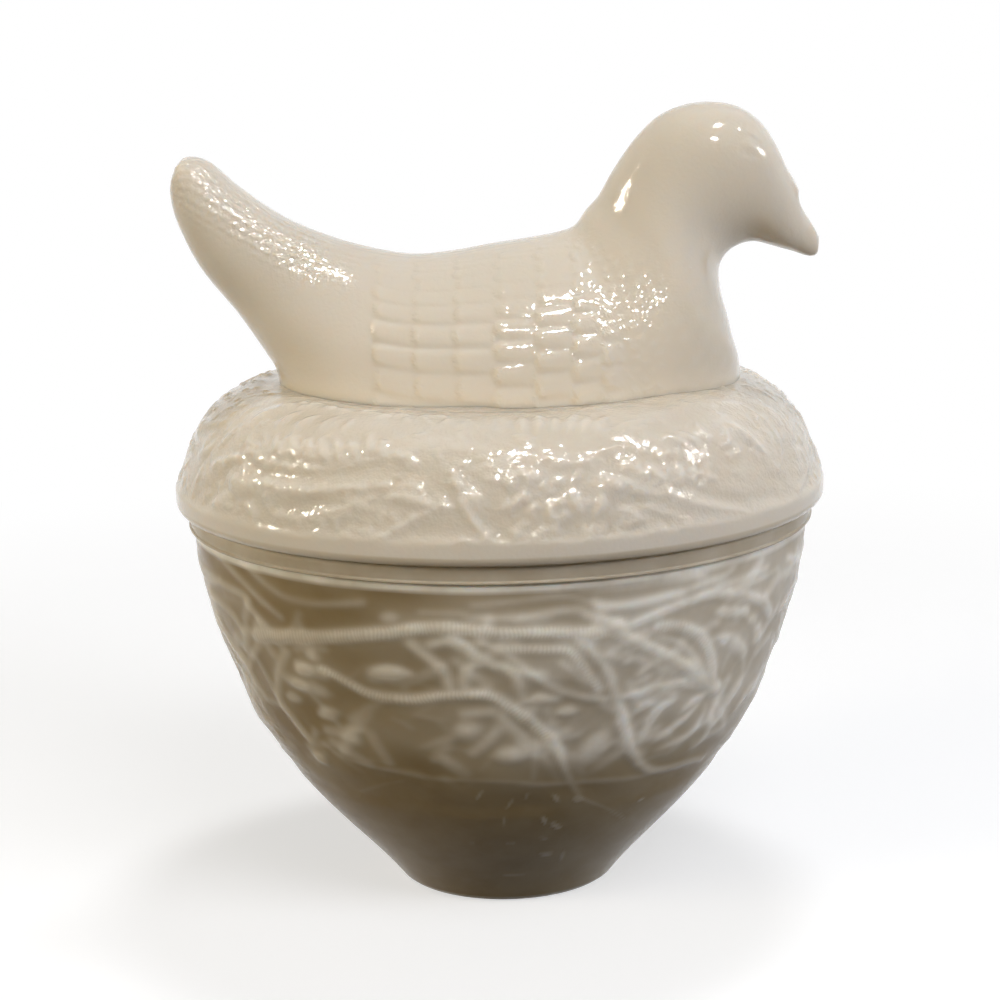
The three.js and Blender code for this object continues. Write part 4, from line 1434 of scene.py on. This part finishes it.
# %% Milk glass materials
def milk_glass(name, colours, depth, shine, colour_values, surface_values):
    """Opaque white glass: light scatters inside it to a depth in metres, under a surface of the given shine.
    colours are the raised, hollow and cloud colour, and the other values go to the two shared effects."""
    material = bpy.data.materials.new(name)
    material.use_nodes = True
    nodes, link = material.node_tree.nodes, material.node_tree.links.new
    shader = nodes["Principled BSDF"]
    shader.inputs["Subsurface Weight"].default_value = 1.0
    shader.inputs["Subsurface Scale"].default_value = depth
    shader.inputs["Subsurface Radius"].default_value = (1.0, 0.85, 0.7)
    shader.inputs["IOR"].default_value = 1.5
    shader.inputs["Specular IOR Level"].default_value = shine
    colour = nodes.new("ShaderNodeGroup")
    colour.node_tree = pressed_colour
    for socket, value in zip(("Raised Colour", "Hollow Colour", "Cloud Colour"), colours):
        colour.inputs[socket].default_value = (*value, 1)
    surface = nodes.new("ShaderNodeGroup")
    surface.node_tree = pressed_surface
    for group, values in ((colour, colour_values), (surface, surface_values)):
        for socket, value in values.items():
            group.inputs[socket].default_value = value
    bump = nodes.new("ShaderNodeBump")
    bump.inputs["Distance"].default_value = 1.0
    link(colour.outputs["Colour"], shader.inputs["Base Color"])
    link(surface.outputs["Roughness"], shader.inputs["Roughness"])
    link(surface.outputs["Height"], bump.inputs["Height"])
    link(bump.outputs["Normal"], shader.inputs["Normal"])
    return material


# The bowl's dark brown hollow colour is painted shade as well as dirt, and it also darkens the plain foot.
bowl_glass = milk_glass(
    "bowl_milk_glass", ((0.99, 0.97, 0.92), (0.27, 0.20, 0.10), (0.38, 0.31, 0.2)), 0.0003, 0.05,
    {"Cloud Size": 130.0, "Cloud Amount": 0.35, "Line Pitch": 0.8, "Line Share": 0.05},
    {"Mark Size": 1000.0, "Mark Height": 0.00001, "Line Pitch": 0.8, "Line Height": 0.000003,
     "Smooth Roughness": 0.12, "Dull Roughness": 0.25},
)
cover_glass = milk_glass(
    "cover_milk_glass", ((0.74, 0.69, 0.62), (0.54, 0.45, 0.30), (0.68, 0.63, 0.54)), 0.0018, 0.4,
    {"Cloud Size": 40.0, "Cloud Amount": 0.4},
    {"Mark Size": 1200.0, "Mark Height": 0.00009, "Line Height": 0.0,
     "Smooth Roughness": 0.05, "Dull Roughness": 0.09},
)

for piece, body_name, node, slot, material in (
    (bowl, "bowl", "nest_bowl", "bowl_milk_glass", bowl_glass),
    (nest, "cover", "bird_lid", "cover_milk_glass", cover_glass),
    (bird, "cover", "bird_lid", "cover_milk_glass", cover_glass),
):
    piece.data.materials.clear()
    piece.data.materials.append(material)
    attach(piece, body_name)
    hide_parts(node)
    print(piece.name, "rides", body_name, "in place of", node)

# %% [markdown]
# ## Floor and world
# The picture has a white ground with a soft shadow. Camera, glossy and transmission rays see a white floor
# and a white backdrop, and the floor keeps the dish's shadow. All other rays meet a dim warm floor and room,
# because the shaded sides of the dish are dark and warm in the picture.


# %% Floor
def seen_share(nodes, link):
    """1 for camera, glossy and transmission rays, otherwise 0."""
    path = nodes.new("ShaderNodeLightPath")
    seen = path.outputs["Is Camera Ray"]
    for ray in ("Is Glossy Ray", "Is Transmission Ray"):
        seen = math_node(nodes, link, "MAXIMUM", seen, path.outputs[ray])
    return seen


def shader_mix(nodes, link, share, first, second):
    """A mix of two shaders."""
    mix = nodes.new("ShaderNodeMixShader")
    link(share, mix.inputs[0])
    link(first, mix.inputs[1])
    link(second, mix.inputs[2])
    return mix.outputs[0]


FLOOR_HALF = 6
FLOOR_GAP = 0.0002

floor_mesh = bpy.data.meshes.new("floor")
signs = ((-1, -1), (1, -1), (1, 1), (-1, 1))
floor_corners = [(sign_x * FLOOR_HALF, sign_y * FLOOR_HALF, 0) for sign_x, sign_y in signs]
floor_mesh.from_pydata(floor_corners, [], [(0, 1, 2, 3)])
floor = bpy.data.objects.new("floor", floor_mesh)
floor.location = (0, 0, -FLOOR_GAP)
bpy.context.collection.objects.link(floor)
print("floor is", 2 * FLOOR_HALF, "m wide and lies", FLOOR_GAP / MM, "mm below the foot")

# %% Floor material
# Near the dish the seen floor is lit and so keeps the shadow, with a glow that lifts it to white. Further off
# it only glows, at full white, and between the two reaches, in metres, one fades into the other.
SHADOW_REACH = 0.2
FLOOR_REACH = 0.42
DIM_FLOOR = (0.07, 0.055, 0.03, 1)
LIT_FLOOR = (0.56, 0.58, 0.62, 1)
NEAR_GLOW = 0.57

floor_material = bpy.data.materials.new("studio floor")
floor_material.use_nodes = True
nodes, link = floor_material.node_tree.nodes, floor_material.node_tree.links.new
nodes.clear()
dim = nodes.new("ShaderNodeBsdfDiffuse")
dim.inputs["Color"].default_value = DIM_FLOOR
lit = nodes.new("ShaderNodeBsdfDiffuse")
lit.inputs["Color"].default_value = LIT_FLOOR
glow = nodes.new("ShaderNodeEmission")
glow.inputs["Strength"].default_value = NEAR_GLOW
near = nodes.new("ShaderNodeAddShader")
link(lit.outputs[0], near.inputs[0])
link(glow.outputs[0], near.inputs[1])
far = nodes.new("ShaderNodeEmission")
place = nodes.new("ShaderNodeTexCoord")
distance = nodes.new("ShaderNodeVectorMath")
distance.operation = "LENGTH"
link(place.outputs["Object"], distance.inputs[0])
fade = nodes.new("ShaderNodeMapRange")
fade.interpolation_type = "SMOOTHSTEP"
fade.inputs["From Min"].default_value = SHADOW_REACH
fade.inputs["From Max"].default_value = FLOOR_REACH
link(distance.outputs["Value"], fade.inputs["Value"])
white = shader_mix(nodes, link, fade.outputs["Result"], near.outputs[0], far.outputs[0])
floor_surface = shader_mix(nodes, link, seen_share(nodes, link), dim.outputs[0], white)
link(floor_surface, nodes.new("ShaderNodeOutputMaterial").inputs["Surface"])
floor.data.materials.append(floor_material)

# %% World
ROOM_COLOUR = (1.0, 0.86, 0.68, 1)
ROOM_LEVEL = 0.08

world = bpy.data.worlds.new("studio")
bpy.context.scene.world = world
world.use_nodes = True
nodes, link = world.node_tree.nodes, world.node_tree.links.new
nodes.clear()
room = nodes.new("ShaderNodeBackground")
room.inputs["Color"].default_value = ROOM_COLOUR
room.inputs["Strength"].default_value = ROOM_LEVEL
backdrop = nodes.new("ShaderNodeBackground")
backdrop.inputs["Color"].default_value = (1, 1, 1, 1)
world_surface = shader_mix(nodes, link, seen_share(nodes, link), room.outputs[0], backdrop.outputs[0])
link(world_surface, nodes.new("ShaderNodeOutputWorld").inputs["Surface"])

# %% [markdown]
# ## Lamps
# The dish was lit from above, from the front and from both sides, warmer at the left. Broad lamps do this
# and aren't mirrored, because a mirrored panel would lay a wide glare on every twig. The picture's glints
# are as small as dots, so they come from small lamps, which are mirrored and give no other light.

# %% Lamps
AIM_HEIGHT = 0.08


def soft_lamp(name, direction, distance, size, level, colour):
    """A square lamp that faces the dish's middle. level is how bright it makes a white card that faces it: a
    lamp of W watts at d metres gives W / (pi d)^2."""
    data = bpy.data.lights.new(name, "AREA")
    data.size = size
    data.energy = level * (math.pi * distance) ** 2
    data.color = colour
    lamp = bpy.data.objects.new(name, data)
    outwards = np.array(direction, float)
    outwards /= np.linalg.norm(outwards)
    side = np.cross((0.0, 1.0, 0.3), outwards)
    side /= np.linalg.norm(side)
    top = np.cross(outwards, side)
    place = outwards * distance + (0, 0, AIM_HEIGHT)
    rows = [[side[i], top[i], outwards[i], place[i]] for i in range(3)]
    lamp.matrix_world = Matrix(rows + [[0, 0, 0, 1]])
    bpy.context.collection.objects.link(lamp)
    print(name, "lamp:", round(data.energy, 2), "W")
    return lamp


broad = [
    soft_lamp("front", (0.3, -0.8, 0.9), 1.3, 0.6, 0.25, (1.0, 0.99, 0.98)),
    soft_lamp("ceiling", (0.12, 0.22, 0.97), 1.25, 0.25, 0.32, (1.0, 0.98, 0.95)),
    soft_lamp("right", (0.88, -0.62, 0.4), 1.0, 0.4, 0.43, (1.0, 0.99, 1.0)),
    soft_lamp("left", (-0.92, -0.45, 0.27), 1.0, 0.4, 0.52, (1.0, 0.89, 0.69)),
]
for lamp in broad:
    lamp.visible_glossy = False
small = [
    soft_lamp("ceiling glint", (0.15, -0.17, 0.97), 1.25, 0.065, 0.9, (1.0, 0.98, 0.94)),
    soft_lamp("back glint", (0.45, -0.1, 0.88), 1.25, 0.05, 0.35, (1.0, 0.98, 0.94)),
    soft_lamp("front glint", (0.05, -0.6, 0.8), 1.25, 0.04, 0.26, (1.0, 0.98, 0.94)),
    soft_lamp("left glint", (-0.85, 0.05, 0.52), 1.1, 0.08, 0.4, (1.0, 0.92, 0.76)),
    soft_lamp("right glint", (0.77, -0.1, 0.51), 1.1, 0.05, 0.15, (1.0, 0.96, 0.9)),
]
for lamp in small:
    lamp.visible_diffuse = False
bpy.context.scene.view_settings.view_transform = "Standard"
